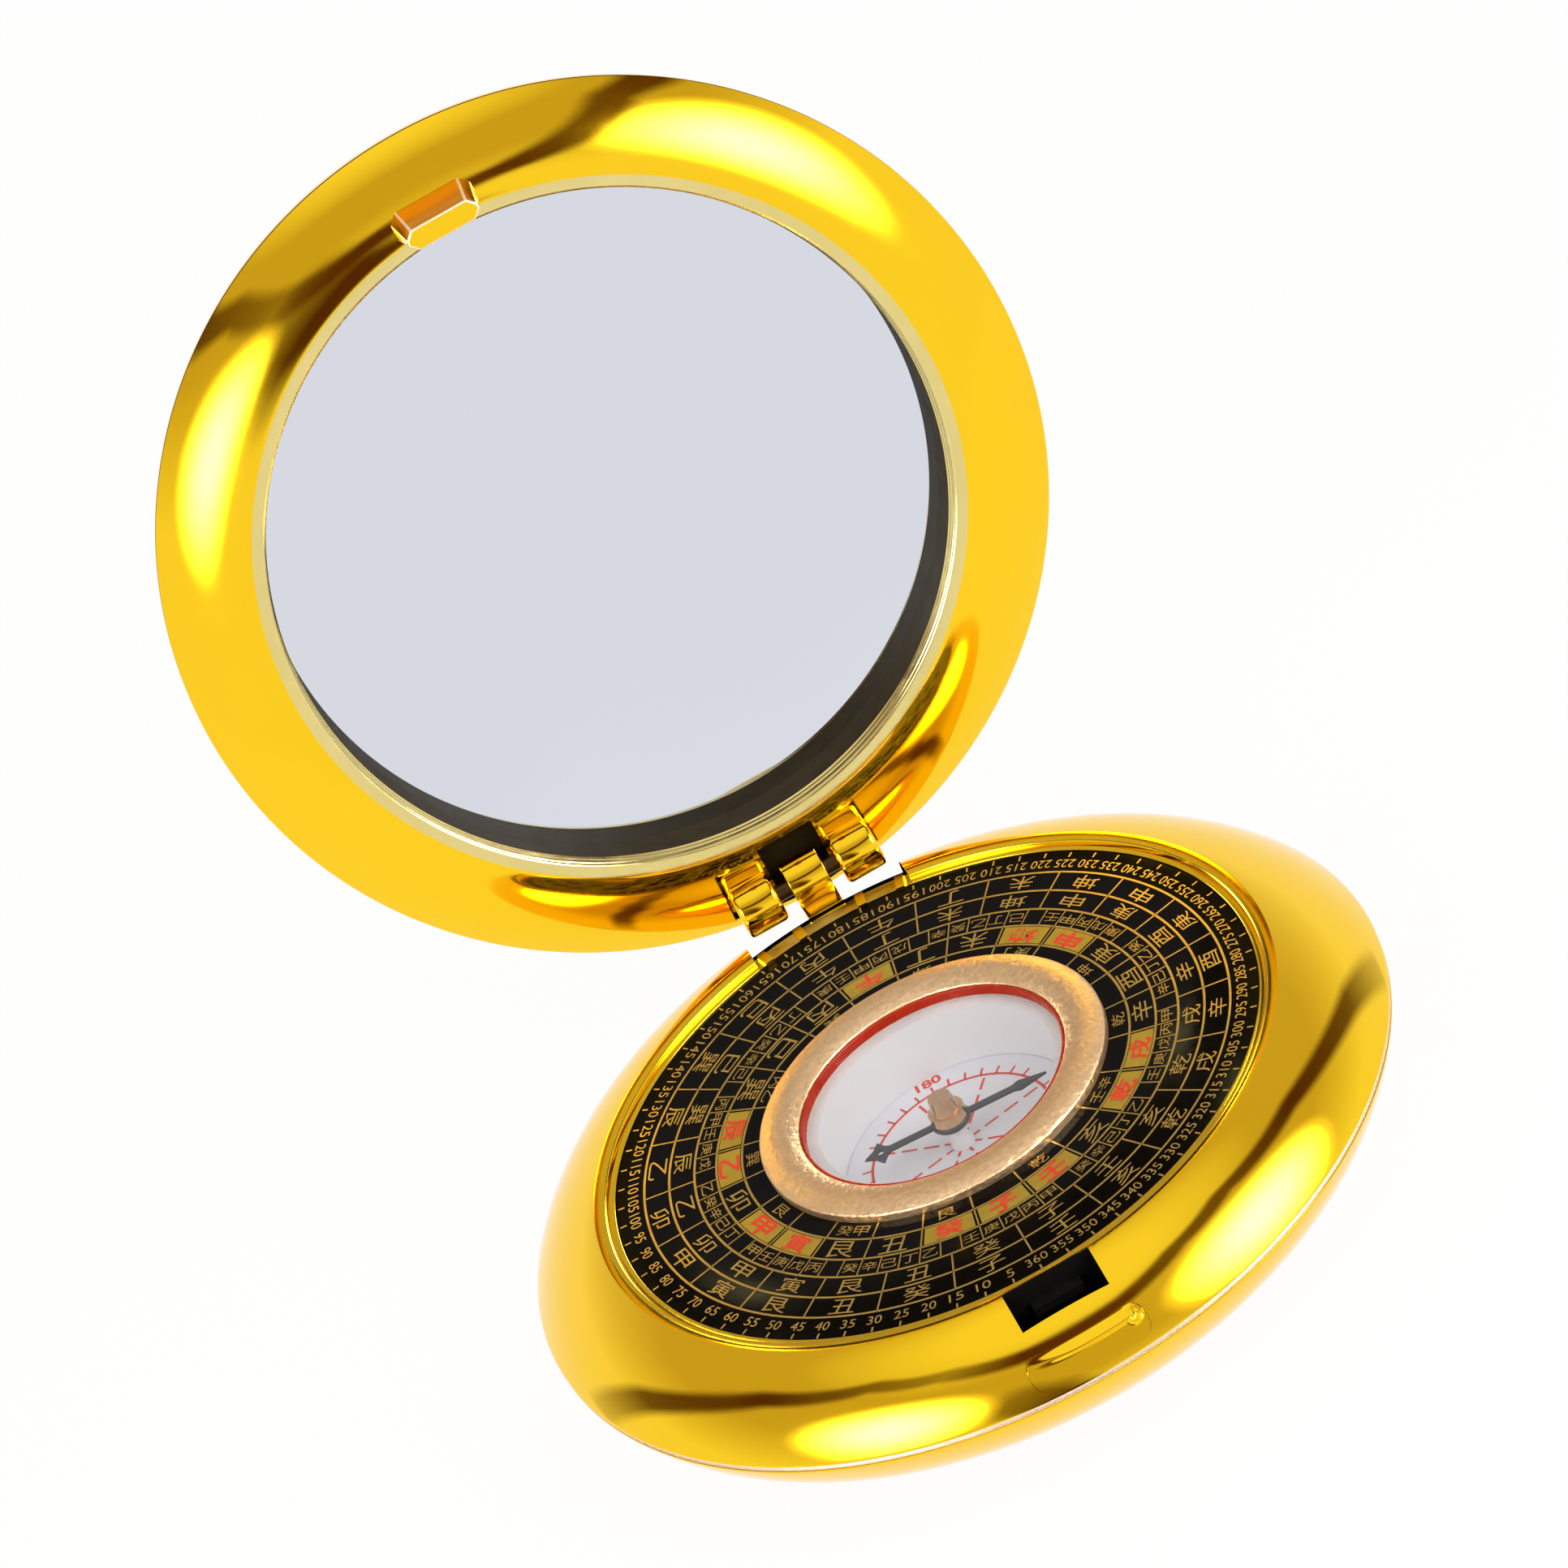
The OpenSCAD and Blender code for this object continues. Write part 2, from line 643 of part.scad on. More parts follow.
// Brass-coloured ring with a crowned top
module capsule_ring() color([0.78, 0.64, 0.4]) {
    translate([0, 0, zs]) rotate_extrude() {
        translate([ring_in_r, z_flange]) square([skirt_t, z_ring - z_flange]);
        translate([ring_in_r, dial_z]) square([2 * ring_half, ring_h]);
        intersection() {
            translate([ring_mid, z_ring + ring_sag - ring_curve]) circle(r = ring_curve);
            translate([ring_in_r, z_ring]) square([2 * ring_half, ring_sag]);
        }
    }
}

// White post under the needle
module pivot_post() color([0.93, 0.93, 0.93]) {
    difference() {
        translate([0, 0, zs - bowl_floor_z]) cylinder(d1 = post_foot_d, d2 = post_top_d,
            h = post_z + bowl_floor_z);
        translate([0, 0, zs + pivot_in + z_card]) cylinder(d = pivot_d, h = over + post_z);
    }
}

// Steel pin on which the needle turns
module pivot_pin() color([0.7, 0.7, 0.72])
    translate([0, 0, zs + pivot_in + z_card]) cylinder(d = pivot_d,
        h = z_jewel - pivot_gap - pivot_in - z_card);

// Black washer under the needle
module needle_washer() color([0.06, 0.06, 0.06])
    band(hub_bore_d / 2, cap_d / 2, needle_z - washer_t, needle_z);

// Flat needle with arrow head and pierced star
module needle_blade() color([0.1, 0.11, 0.12]) {
    translate([0, 0, zs + needle_z]) rotate(needle_angle) linear_extrude(height = needle_t)
        difference() {
            union() {
                circle(d = hub_d);
                translate([-needle_tail, -needle_w / 2]) square([needle_tail + needle_tip - arrow_l / 2,
                    needle_w]);
                polygon([[needle_tip, 0], [needle_tip - arrow_l * 4 / 5, arrow_w / 2],
                    [needle_tip - arrow_l, needle_w / 2], [needle_tip - arrow_l, -needle_w / 2],
                    [needle_tip - arrow_l * 4 / 5, -arrow_w / 2]]);
                translate([-needle_tail, 0]) polygon([for (i = [0:7])
                    [(i % 2 == 0 ? star_r : star_waist) * cos(45 * i),
                    (i % 2 == 0 ? star_r : star_waist) * sin(45 * i)]]);
            }
            circle(d = hub_bore_d);
            translate([-needle_tail, 0]) circle(d = star_hole_d);
        }
}

// Stepped brass cap of the needle
module needle_cap() color([0.74, 0.6, 0.42]) {
    translate([0, 0, zs + z_needle_top]) difference() {
        union() {
            cylinder(d = cap_d, h = cap_flange_h);
            translate([0, 0, cap_flange_h]) cylinder(d1 = crown_d, d2 = crown_top_d,
                h = cap_h - cap_flange_h);
        }
        translate([0, 0, -over]) cylinder(d = hub_bore_d, h = cap_h - cap_top_t + over);
    }
}

// Jewel that rides on the pivot pin
module cap_jewel() color([0.7, 0.1, 0.2])
    translate([0, 0, zs + z_jewel]) cylinder(d = hub_bore_d, h = jewel_h);

// Folded strip spring that pushes the slider outwards
module latch_spring() color([0.62, 0.63, 0.65]) {
    half = spring_w / 2 - spring_pitch / 2 - strip_t / 2;
    lap = strip_t / 8;
    translate([0, -slider_in, zs + spring_z]) linear_extrude(height = strip_h) {
        for (i = [0:2 * spring_n]) translate([-half - lap, spring_pitch * i])
            square([2 * (half + lap), strip_t]);
        for (i = [0:2 * spring_n - 1]) translate([i % 2 == 0 ? half : -half,
            spring_pitch * (i + 1 / 2) + strip_t / 2]) intersection() {
            difference() {
                circle(r = spring_pitch / 2 + strip_t / 2);
                circle(r = spring_pitch / 2 - strip_t / 2);
            }
            translate([i % 2 == 0 ? 0 : -spring_w, -spring_w / 2]) square([spring_w, spring_w]);
        }
    }
}

// Slider with the upright and the nose that holds the lug
module latch_slider() color([0.05, 0.05, 0.05]) {
    slab(-slider_w / 2, slider_w / 2, -slider_out, -slider_in, spring_z, slider_z);
    difference() {
        slab(-tongue_w / 2, tongue_w / 2, -tongue_out, -slider_in, spring_z, slider_z);
        translate([0, peg_y, zs + slider_z - peg_h]) cylinder(d = peg_d, h = peg_h + over);
    }
    slab(-slider_w / 2, slider_w / 2, -slider_in - upright_t, -slider_in, slider_z, z_nose_top);
    slab(-lug_end_w / 2 + lug_chamfer, lug_end_w / 2 - lug_chamfer, -nose_out,
        -upright_out, z_nose, z_nose_top);
}

// Gold button on the flank, pegged to the slider
module release_button() color([0.95, 0.78, 0.2]) {
    intersection() {
        translate([0, -recess_out + wall, zs + button_mid_z]) rotate([90, 0, 0])
            linear_extrude(height = body_r) button_2d(0);
        translate([0, 0, zs]) rotate_extrude() intersection() {
            translate([dome_x, dome_z]) circle(r = dome_r + button_proud);
            square([body_d, lip_rise]);
        }
        slab(-button_w, button_w, -body_d, -button_back, 0, lip_rise);
    }
    translate([0, peg_y, zs + slider_z - peg_h]) cylinder(d = peg_d, h = peg_h + button_h / 2);
}

// Inner half of the lid with lip, mirror well and two hinge leaves
module lid_frame() color([0.9, 0.72, 0.15]) swing() {
    difference() {
        union() {
            translate([0, 0, zs]) rotate_extrude() {
                difference() {
                    intersection() {
                        translate([lid_x, lid_z]) circle(r = lid_r);
                        translate([well_r, z_lip]) square([body_r, lid_rise]);
                    }
                    intersection() {
                        translate([lid_x, lid_z]) circle(r = lid_r - wall);
                        translate([mirror_r + well_t, z_lip]) square([body_r, lid_rise + over]);
                    }
                }
                intersection() {
                    translate([lid_x, lid_z]) circle(r = lid_r);
                    translate([spig_r - spigot_t, z_seam2 - bridge_h]) square([spigot_t + rim_t / 2,
                        bridge_h]);
                }
                polygon([[well_r, z_lip + lid_sag], [well_end_r, z_mirror],
                    [mirror_r + fit_gap, z_mirror], [mirror_r + fit_gap, z_well_top],
                    [mirror_r + well_t, z_well_top], [mirror_r + well_t, z_lip + lid_sag]]);
            }
            band(spig_r - spigot_t, spig_r, z_seam2 - bridge_h / 2, z_seam2 + spigot_h);
            // solid bed of the hinge leaves
            intersection() {
                slope_fill();
                slab(-bed_w / 2, bed_w / 2, lip_r / 2, body_r + over, z_lip, z_seam2);
            }
            slab(-bed_w / 2, bed_w / 2, mirror_r + well_t, spig_r - spigot_t,
                z_seam2 - bridge_h, z_seam2 + bridge_h);
            for (s = [-1, 1]) translate([s * (hinge_w - lid_leaf_w) / 2, 0, 0]) {
                translate([-lid_leaf_w / 2, hinge_y, zs + hinge_z]) rotate([0, 90, 0])
                    cylinder(r = leaf_r, h = lid_leaf_w);
                slab(-lid_leaf_w / 2, lid_leaf_w / 2, hinge_y - leaf_r, hinge_y + leaf_r / 2,
                    hinge_z, z_seam2 - seam_w);
            }
        }
        // pocket between the leaves
        slab(-pocket_w / 2, pocket_w / 2, lip_r + wall / 2, body_r + over, z_lip - over, roof_z);
        for (s = [-1, 1]) translate([s * (hinge_w - lid_leaf_w) / 2, hinge_y, zs + hinge_z])
            rotate([0, 90, 0]) translate([0, 0, -lid_leaf_w])
            cylinder(d = hinge_pin_d - press, h = 2 * lid_leaf_w);
        difference() {
            translate([0, 0, zs + z_seam2 - seam_w / 2]) cylinder(r = body_r + over, h = seam_w / 2 + over);
            cylinder(r = body_r - seam_deep, h = zs + z_seam2 + 2 * over);
        }
        // seat of the lug
        slab(-lug_w / 2, lug_w / 2, -lug_out, -lug_in, z_lip - over, z_seam2 - bridge_h);
    }
}

// Outer shell of the lid
module lid_cover() color([0.88, 0.7, 0.14]) swing() {
    difference() {
        translate([0, 0, zs + z_seam2]) rotate_extrude() {
            difference() {
                back_2d(0);
                difference() {
                    back_2d(wall);
                    translate([rib_r - rib_t / 2, z_pad_top - z_seam2]) square([rib_t, back_depth]);
                }
                square([rab_r, spigot_h + fit_gap]);
            }
            intersection() {
                back_2d(0);
                translate([rab_r, 0]) square([rim_t, spigot_h + bridge_h]);
            }
        }
        difference() {
            translate([0, 0, zs + z_seam2 - over]) cylinder(r = body_r + over, h = over + seam_w / 2);
            cylinder(r = body_r - seam_deep, h = zs + z_seam2 + 2 * over);
        }
    }
}

// Mirror glass in its well
module mirror_glass() color([0.75, 0.78, 0.8]) swing()
    translate([0, 0, zs + z_mirror]) cylinder(r = mirror_r, h = mirror_t);

// Soft pad behind the mirror
module mirror_pad() color([0.25, 0.25, 0.26]) swing()
    translate([0, 0, zs + z_mirror_back]) cylinder(r = pad_r, h = pad_t);

// Tapered latch lug with its catch notch
module latch_lug() color([0.93, 0.75, 0.17]) swing() {
    y1 = -lug_in;
    y2 = -lug_out;
    intersection() {
        translate([-lug_w, 0, zs]) rotate([90, 0, 90]) linear_extrude(height = 2 * lug_w)
            polygon([[y1, z_seam2 - bridge_h], [y1, z_lip], [y1 - lug_in_taper, z_notch_top],
                [y1 - lug_in_taper - notch_in, z_notch_top], [y1 - lug_in_taper - notch_in, z_lug_catch],
                [y1 - lug_in_taper, z_lug_catch], [y1 - lug_in_taper - notch_in / 3, z_lug_end],
                [y2 + lug_out_taper, z_lug_end], [y2, z_lip], [y2, z_seam2 - bridge_h]]);
        translate([0, y1, zs]) rotate([90, 0, 0]) linear_extrude(height = lug_out - lug_in)
            polygon([[-lug_w / 2, z_seam2 - bridge_h], [-lug_w / 2, z_lip], [-lug_end_w / 2, z_lug_end],
                [lug_end_w / 2, z_lug_end], [lug_w / 2, z_lip], [lug_w / 2, z_seam2 - bridge_h]]);
        union() {
            translate([0, 0, zs]) linear_extrude(height = z_lip - lip_gap / 2) polygon([
                [-lug_w / 2, y1 - lug_chamfer], [-lug_w / 2 + lug_chamfer, y1],
                [lug_w / 2 - lug_chamfer, y1], [lug_w / 2, y1 - lug_chamfer],
                [lug_w / 2, y2 + lug_chamfer], [lug_w / 2 - lug_chamfer, y2],
                [-lug_w / 2 + lug_chamfer, y2], [-lug_w / 2, y2 + lug_chamfer]]);
            slab(-lug_w / 2, lug_w / 2, y2, y1, z_lip - lip_gap / 2, z_seam2);
        }
    }
}

// Steel pin through the three leaves
module hinge_pin() color([0.7, 0.7, 0.72]) swing()
    translate([-pin_l / 2, hinge_y, zs + hinge_z]) rotate([0, 90, 0])
        cylinder(d = hinge_pin_d, h = pin_l);

bottom_shell();
base_bezel();
seat_ring();
dial_pad();
dial_plate();
capsule_bowl();
bowl_card();
capsule_gasket();
capsule_lens();
capsule_ring();
pivot_post();
pivot_pin();
needle_washer();
needle_blade();
needle_cap();
cap_jewel();
latch_spring();
latch_slider();
release_button();
lid_frame();
lid_cover();
mirror_glass();
mirror_pad();
latch_lug();
hinge_pin();
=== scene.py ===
import math

import bmesh
import bpy
import numpy as np
from mathutils import Matrix, Vector


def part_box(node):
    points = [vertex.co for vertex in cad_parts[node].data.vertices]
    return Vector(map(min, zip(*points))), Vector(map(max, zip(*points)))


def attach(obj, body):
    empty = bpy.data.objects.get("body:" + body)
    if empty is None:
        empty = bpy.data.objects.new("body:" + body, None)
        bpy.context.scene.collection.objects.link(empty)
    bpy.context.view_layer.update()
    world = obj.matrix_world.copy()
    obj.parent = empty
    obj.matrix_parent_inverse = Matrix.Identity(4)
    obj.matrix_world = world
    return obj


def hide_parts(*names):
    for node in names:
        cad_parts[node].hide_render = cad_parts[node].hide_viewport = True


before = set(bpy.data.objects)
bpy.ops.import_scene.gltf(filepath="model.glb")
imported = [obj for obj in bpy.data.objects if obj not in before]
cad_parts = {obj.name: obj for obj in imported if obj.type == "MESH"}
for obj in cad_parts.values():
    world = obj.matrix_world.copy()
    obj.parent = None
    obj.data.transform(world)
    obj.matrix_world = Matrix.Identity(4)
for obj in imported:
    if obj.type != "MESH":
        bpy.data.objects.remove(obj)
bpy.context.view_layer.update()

# Camera. A long lens looks down on the compass from the front, and the picture is rolled so that
# the compass leans to the left. It stands where the photograph was taken from.
MM = 0.001
SEAM = 7.8
elevation = math.radians(33.03)
azimuth = math.radians(-1.42)
roll = math.radians(-28.79)
far = 700
shift_left = 14.168
shift_up = 28.333
long_lens = 198.8
film_width = 36
toward = Vector((math.sin(azimuth) * math.cos(elevation),
                 -math.cos(azimuth) * math.cos(elevation), math.sin(elevation)))
level = Vector((math.cos(azimuth), math.sin(azimuth), 0))
upward = toward.cross(level)
right = math.cos(roll) * level + math.sin(roll) * upward
top = math.cos(roll) * upward - math.sin(roll) * level
place = far * toward - shift_left * right + shift_up * top + Vector((0, 0, SEAM))
eye = bpy.data.cameras.new("eye")
eye.lens = long_lens
eye.sensor_width = film_width
eye.clip_start = 0.05
eye.clip_end = 20
camera = bpy.data.objects.new("camera", eye)
camera.matrix_world = Matrix.Translation(place * MM) @ Matrix((right, top, toward)).transposed().to_4x4()
bpy.context.scene.collection.objects.link(camera)
bpy.context.scene.camera = camera
bpy.context.scene.view_settings.view_transform = "Standard"


# Studio. A white table under a pale room, and one soft box on each side of the camera. Dark cloths
# hang in an arch over the compass, and the polished gold shows them as its brown bands.
class Number:
    """A number in a node tree, so that node sums can be written as plain sums."""

    def __init__(self, tree, socket):
        self.tree = tree
        self.socket = socket

    def work(self, kind, *others):
        node = add_node(self.tree, "ShaderNodeMath", {"operation": kind}, dict(enumerate((self,) + others)))
        return Number(self.tree, node.outputs[0])

    def __add__(self, other):
        return self.work("ADD", other)

    def __sub__(self, other):
        return self.work("SUBTRACT", other)

    def __rsub__(self, other):
        return self * -1 + other

    def __mul__(self, other):
        return self.work("MULTIPLY", other)

    def __truediv__(self, other):
        return self.work("DIVIDE", other)

    def __pow__(self, other):
        return self.work("POWER", other)

    __radd__ = __add__
    __rmul__ = __mul__

    def between(self, low, high):
        return self.work("MAXIMUM", low).work("MINIMUM", high)

    def into(self, socket):
        self.tree.links.new(self.socket, socket)


def add_node(tree, kind, settings=None, sockets=None):
    """Adds one node. Its settings are set first, then each named socket gets its value or its link."""
    node = tree.nodes.new(kind)
    for name, value in (settings or {}).items():
        setattr(node, name, value)
    for slot, value in (sockets or {}).items():
        if isinstance(value, Number):
            value.into(node.inputs[slot])
        elif isinstance(value, bpy.types.NodeSocket):
            tree.links.new(value, node.inputs[slot])
        else:
            node.inputs[slot].default_value = value
    return node


def new_finish(name, settings):
    """A new material with settings for the sockets of its shader, as (material, tree, shader)."""
    finish = bpy.data.materials.new(name)
    finish.use_nodes = True
    shader = finish.node_tree.nodes["Principled BSDF"]
    for slot, value in settings.items():
        shader.inputs[slot].default_value = value
    return finish, finish.node_tree, shader


def cloud(tree, size_mm, detail=3.0, roughness=0.5, stretch=(1, 1, 1)):
    """Soft uneven patches of about this size, fixed to the piece."""
    where = add_node(tree, "ShaderNodeTexCoord")
    scale = add_node(tree, "ShaderNodeMapping", {}, {"Vector": where.outputs["Object"],
                                                       "Scale": [s / (size_mm * MM) for s in stretch]})
    noise = add_node(tree, "ShaderNodeTexNoise", {}, {"Vector": scale.outputs["Vector"], "Scale": 1,
                                                        "Detail": detail, "Roughness": roughness})
    return Number(tree, noise.outputs["Fac"])


def tint(tree, factor, dark, light, socket):
    """Links to the socket a colour between dark and light."""
    mix = add_node(tree, "ShaderNodeMix", {"data_type": "RGBA"}, {0: factor, 6: (*dark, 1), 7: (*light, 1)})
    tree.links.new(mix.outputs[2], socket)


def relief(tree, height, depth_mm, shader):
    bump = add_node(tree, "ShaderNodeBump", {}, {"Distance": depth_mm * MM, "Height": height})
    tree.links.new(bump.outputs["Normal"], shader.inputs["Normal"])


def lay_over(tree, cover, under, over):
    """Shows the shader over in place of the shader under, by as much as cover says."""
    layer = add_node(tree, "ShaderNodeMixShader", {}, {0: cover, 1: under.outputs[0], 2: over.outputs[0]})
    tree.links.new(layer.outputs[0], tree.nodes["Material Output"].inputs["Surface"])


def ray(tree, kind):
    return Number(tree, add_node(tree, "ShaderNodeLightPath").outputs[kind])


def mesh_object(name, points, faces, *finishes):
    mesh = bpy.data.meshes.new(name)
    mesh.from_pydata([Vector(p) * MM for p in points], [], faces)
    mesh.update()
    thing = bpy.data.objects.new(name, mesh)
    bpy.context.scene.collection.objects.link(thing)
    for finish in finishes:
        mesh.materials.append(finish)
    return thing


table_half = 2500
table_white, tree, shader = new_finish("table_white", {"Roughness": 0.9, "Specular IOR Level": 0.1})
tint(tree, cloud(tree, 60), (0.93, 0.93, 0.935), (0.95, 0.95, 0.955), shader.inputs["Base Color"])
white = add_node(tree, "ShaderNodeEmission")
seen = ray(tree, "Is Camera Ray").work("MAXIMUM", ray(tree, "Is Glossy Ray"))
seen = seen.work("MAXIMUM", ray(tree, "Is Transmission Ray"))
lay_over(tree, seen * 0.95, shader, white)
table = mesh_object("table", [(-table_half, -table_half, 0), (table_half, -table_half, 0),
                              (table_half, table_half, 0), (-table_half, table_half, 0)],
                    [(0, 1, 2, 3)], table_white)

world = bpy.data.worlds.new("room")
bpy.context.scene.world = world
world.use_nodes = True
tree = world.node_tree
sky = add_node(tree, "ShaderNodeTexCoord")
parts = add_node(tree, "ShaderNodeSeparateXYZ", {}, {0: sky.outputs["Generated"]})
rise = Number(tree, parts.outputs["Z"])
gloom = ((rise - 0.3) * 3).between(0, 1) * (rise * -8 + 7.8).between(0, 1)
gloom = gloom * (1 - ray(tree, "Is Camera Ray"))
tint(tree, gloom, (0.98, 0.98, 0.98), (0.60, 0.53, 0.44), tree.nodes["Background"].inputs["Color"])


def faded(name, rows, colour, glow):
    """A sheet hung from rows of points. Each point has its own cover, from none at 0 to full at 1."""
    finish, tree, shader = new_finish(name, {"Roughness": 1, "Specular IOR Level": 0,
                                             "Base Color": (*colour, 1), "Emission Color": (*colour, 1),
                                             "Emission Strength": glow})
    cover = add_node(tree, "ShaderNodeAttribute", {"attribute_name": "cover"})
    lay_over(tree, cover.outputs["Fac"], add_node(tree, "ShaderNodeBsdfTransparent"), shader)
    wide = len(rows[0])
    faces = [(r * wide + c, r * wide + c + 1, (r + 1) * wide + c + 1, (r + 1) * wide + c)
             for r in range(len(rows) - 1) for c in range(wide - 1)]
    thing = mesh_object(name, [p for row in rows for p, _ in row], faces, finish)
    covers = thing.data.attributes.new("cover", "FLOAT", "POINT")
    covers.data.foreach_set("value", [k for row in rows for _, k in row])
    thing.visible_camera = False
    thing.visible_diffuse = False
    thing.visible_shadow = False
    thing.visible_transmission = False


def soft_box(name, at, aim, half_wide, half_high, light, glow):
    """A lamp behind white cloth, with its glare in the middle and fading to the edges of the cloth."""
    lamp = bpy.data.lights.new(name, "AREA")
    lamp.shape = "RECTANGLE"
    lamp.size = 2 * half_wide * MM
    lamp.size_y = 2 * half_high * MM
    lamp.energy = light * math.pi * 4 * half_wide * half_high * MM * MM
    thing = bpy.data.objects.new(name, lamp)
    thing.location = Vector(at) * MM
    thing.rotation_mode = "QUATERNION"
    thing.rotation_quaternion = (Vector(aim) - Vector(at)).to_track_quat("-Z", "Y")
    thing.visible_glossy = False
    bpy.context.scene.collection.objects.link(thing)
    turn = thing.rotation_quaternion
    cloth_share = 1.25
    rings = 8
    sides = 40
    rows = []
    for i in range(rings + 1):
        k = i / rings
        reach_wide = cloth_share * half_wide * k
        reach_high = cloth_share * half_high * k
        around = [2 * math.pi * j / sides for j in range(sides + 1)]
        rows.append([(Vector(at) + turn @ Vector((reach_wide * math.cos(a), reach_high * math.sin(a), 0)),
                      (1 - k * k) ** 3) for a in around])
    faded(name + "_cloth", rows, (1, 1, 1), glow)


soft_box("box_left", (-163, -129, 160), (0, 20, 35), 88, 62, 2.6, 36)
soft_box("box_right", (164, -114, 158), (0, 20, 35), 100, 80, 2.6, 36)
fade_shares = ((-1, 0), (-0.75, 0.5), (-0.45, 1), (0, 1), (0.45, 1), (0.75, 0.5), (1, 0))
cloth_brown = (0.10, 0.035, 0.015)


def sky_cloth(name, way):
    """A dark cloth. way lists side angle, height angle, half width, cover and distance of its middle."""
    centre = Vector((0, -10, 20))
    steps = 6

    def spot(side, up):
        side = math.radians(side)
        up = math.radians(up)
        return Vector((math.sin(side) * math.cos(up), -math.cos(side) * math.cos(up), math.sin(up)))

    fine = []
    for first, last in zip(way, way[1:]):
        fine += [[a + (b - a) * k / steps for a, b in zip(first, last)] for k in range(steps)]
    fine.append(list(way[-1]))
    rows = []
    for i, (side, up, half, cover, away) in enumerate(fine):
        here = spot(side, up)
        along = spot(*fine[min(i + 1, len(fine) - 1)][:2]) - spot(*fine[max(i - 1, 0)][:2])
        across = along.cross(here).normalized() * math.tan(math.radians(half))
        rows.append([(centre + (here + across * k) * away, cover * keep) for k, keep in fade_shares])
    faded(name, rows, cloth_brown, 0)


sky_cloth("cloth_arch", [(-126, -5, 5, 0.2, 600), (-118, 20, 6, 0.9, 600), (-104, 46, 6, 1, 440),
                         (-80, 59, 4.5, 0.8, 250), (-50, 60, 4.5, 0.62, 175), (-20, 56, 6, 1, 152),
                         (0, 55, 8, 1, 148), (20, 56, 6, 1, 152), (50, 60, 5, 0.9, 175),
                         (80, 59, 5, 0.9, 250),
                         (104, 46, 6, 1, 440), (118, 20, 6, 0.9, 600), (126, -5, 5, 0.2, 600)])
sky_cloth("cloth_left", [(0, 11, 6, 0.7, 600), (-3, 15, 8, 1, 600), (-9, 22, 11, 1, 600),
                         (-15, 30, 12, 0.85, 600), (-22, 38, 9, 0.6, 600), (-30, 44, 6, 0, 600)])


# Gold shells. Bezel, bottom, lid frame and lid cover are thin plastic shells with a bright gold
# plating, and the bezel is black inside. Each is turned from its section and then cut, and the
# leaves of the hinge are moulded on. Some light and shade are painted on the plating: the seam
# groove is pale as a painted highlight line, the hinge leaves, the lid's inner lip and the hinge
# notch wear a duller gold as painted shade, and the wall of the mirror well and the lid's hinge
# pocket are nearly black as painted shade.
gold_plate, tree, shader = new_finish("gold_plate", {"Metallic": 1, "Coat Weight": 0.2,
                                                     "Coat Roughness": 0.05})
tint(tree, cloud(tree, 30), (0.97, 0.59, 0.004), (1.0, 0.64, 0.014), shader.inputs["Base Color"])
(cloud(tree, 9, 4.0, 0.6) ** 3 * 0.2 + 0.045).between(0.045, 0.16).into(shader.inputs["Roughness"])
relief(tree, cloud(tree, 12, 1.0), 0.02, shader)

# Painted shade: a duller, greyer copy of the gold plating, for the hinge leaves, the lid's inner lip and the
# hinge notch, where the plating shows darker surroundings. It is also rougher.
muted_gold_shade, tree, shader = new_finish("muted_gold_shade", {"Metallic": 1})
tint(tree, cloud(tree, 5), (0.70, 0.58, 0.20), (0.86, 0.70, 0.28), shader.inputs["Base Color"])
(cloud(tree, 2) ** 2 * 0.3 + 0.07).into(shader.inputs["Roughness"])
relief(tree, cloud(tree, 1.5, 2.0), 0.015, shader)

# Painted shade: a nearly black copy of the gold plating, for the wall of the mirror well and the lid's hinge
# pocket.
shadow_gold, tree, shader = new_finish("shadow_gold", {"Specular IOR Level": 0.02})
streaks = cloud(tree, 3, 3.0, 0.6, (1, 1, 6))
tint(tree, streaks, (0.010, 0.006, 0.001), (0.035, 0.024, 0.006), shader.inputs["Base Color"])
(cloud(tree, 2) * 0.15 + 0.45).into(shader.inputs["Roughness"])


def worn(name, patch_mm, dark, light, speck_mm, spread, rough, settings):
    """A finish whose colour drifts between two tones in patches, and whose roughness rises in specks."""
    finish, tree, shader = new_finish(name, settings)
    tint(tree, cloud(tree, patch_mm), dark, light, shader.inputs["Base Color"])
    (cloud(tree, speck_mm) * spread + rough).into(shader.inputs["Roughness"])
    return finish


bare_black = worn("bare_black", 2, (0.002, 0.0018, 0.0015), (0.005, 0.0045, 0.004), 1, 0.2, 0.45,
                  {"Specular IOR Level": 0.09})
# Painted highlight: a pale gold for the seam groove and the lug's broken edges, so that they read as bright
# lines.
pale_highlight = worn("pale_highlight", 4, (0.80, 0.66, 0.50), (0.92, 0.80, 0.66), 2, 0.15, 0.3, {"Metallic": 0.6})
shell_finishes = [gold_plate, bare_black, shadow_gold, pale_highlight, muted_gold_shade]
GOLD, BLACK, SHADOW, HIGHLIGHT_LINE, MUTED_SHADE = range(5)


def arc(cx, cz, r, start, end, steps):
    angles = [math.radians(start + (end - start) * i / steps) for i in range(steps + 1)]
    return [(cx + r * math.cos(a), cz + r * math.sin(a)) for a in angles]


def bend(p, q, sag, steps):
    """Points on the arc from p to q that bulges to the right of the way by sag."""
    p = Vector(p)
    q = Vector(q)
    chord = (q - p).length
    r = chord * chord / (8 * sag) + sag / 2
    side = Vector(((q - p).y, -(q - p).x)) / chord
    centre = (p + q) / 2 - side * (r - sag)
    a0 = math.atan2(p.y - centre.y, p.x - centre.x)
    a1 = math.atan2(q.y - centre.y, q.x - centre.x)
    if a1 - a0 > math.pi:
        a1 -= 2 * math.pi
    if a0 - a1 > math.pi:
        a1 += 2 * math.pi
    return [(centre.x + r * math.cos(a0 + (a1 - a0) * i / steps),
             centre.y + r * math.sin(a0 + (a1 - a0) * i / steps)) for i in range(steps + 1)]


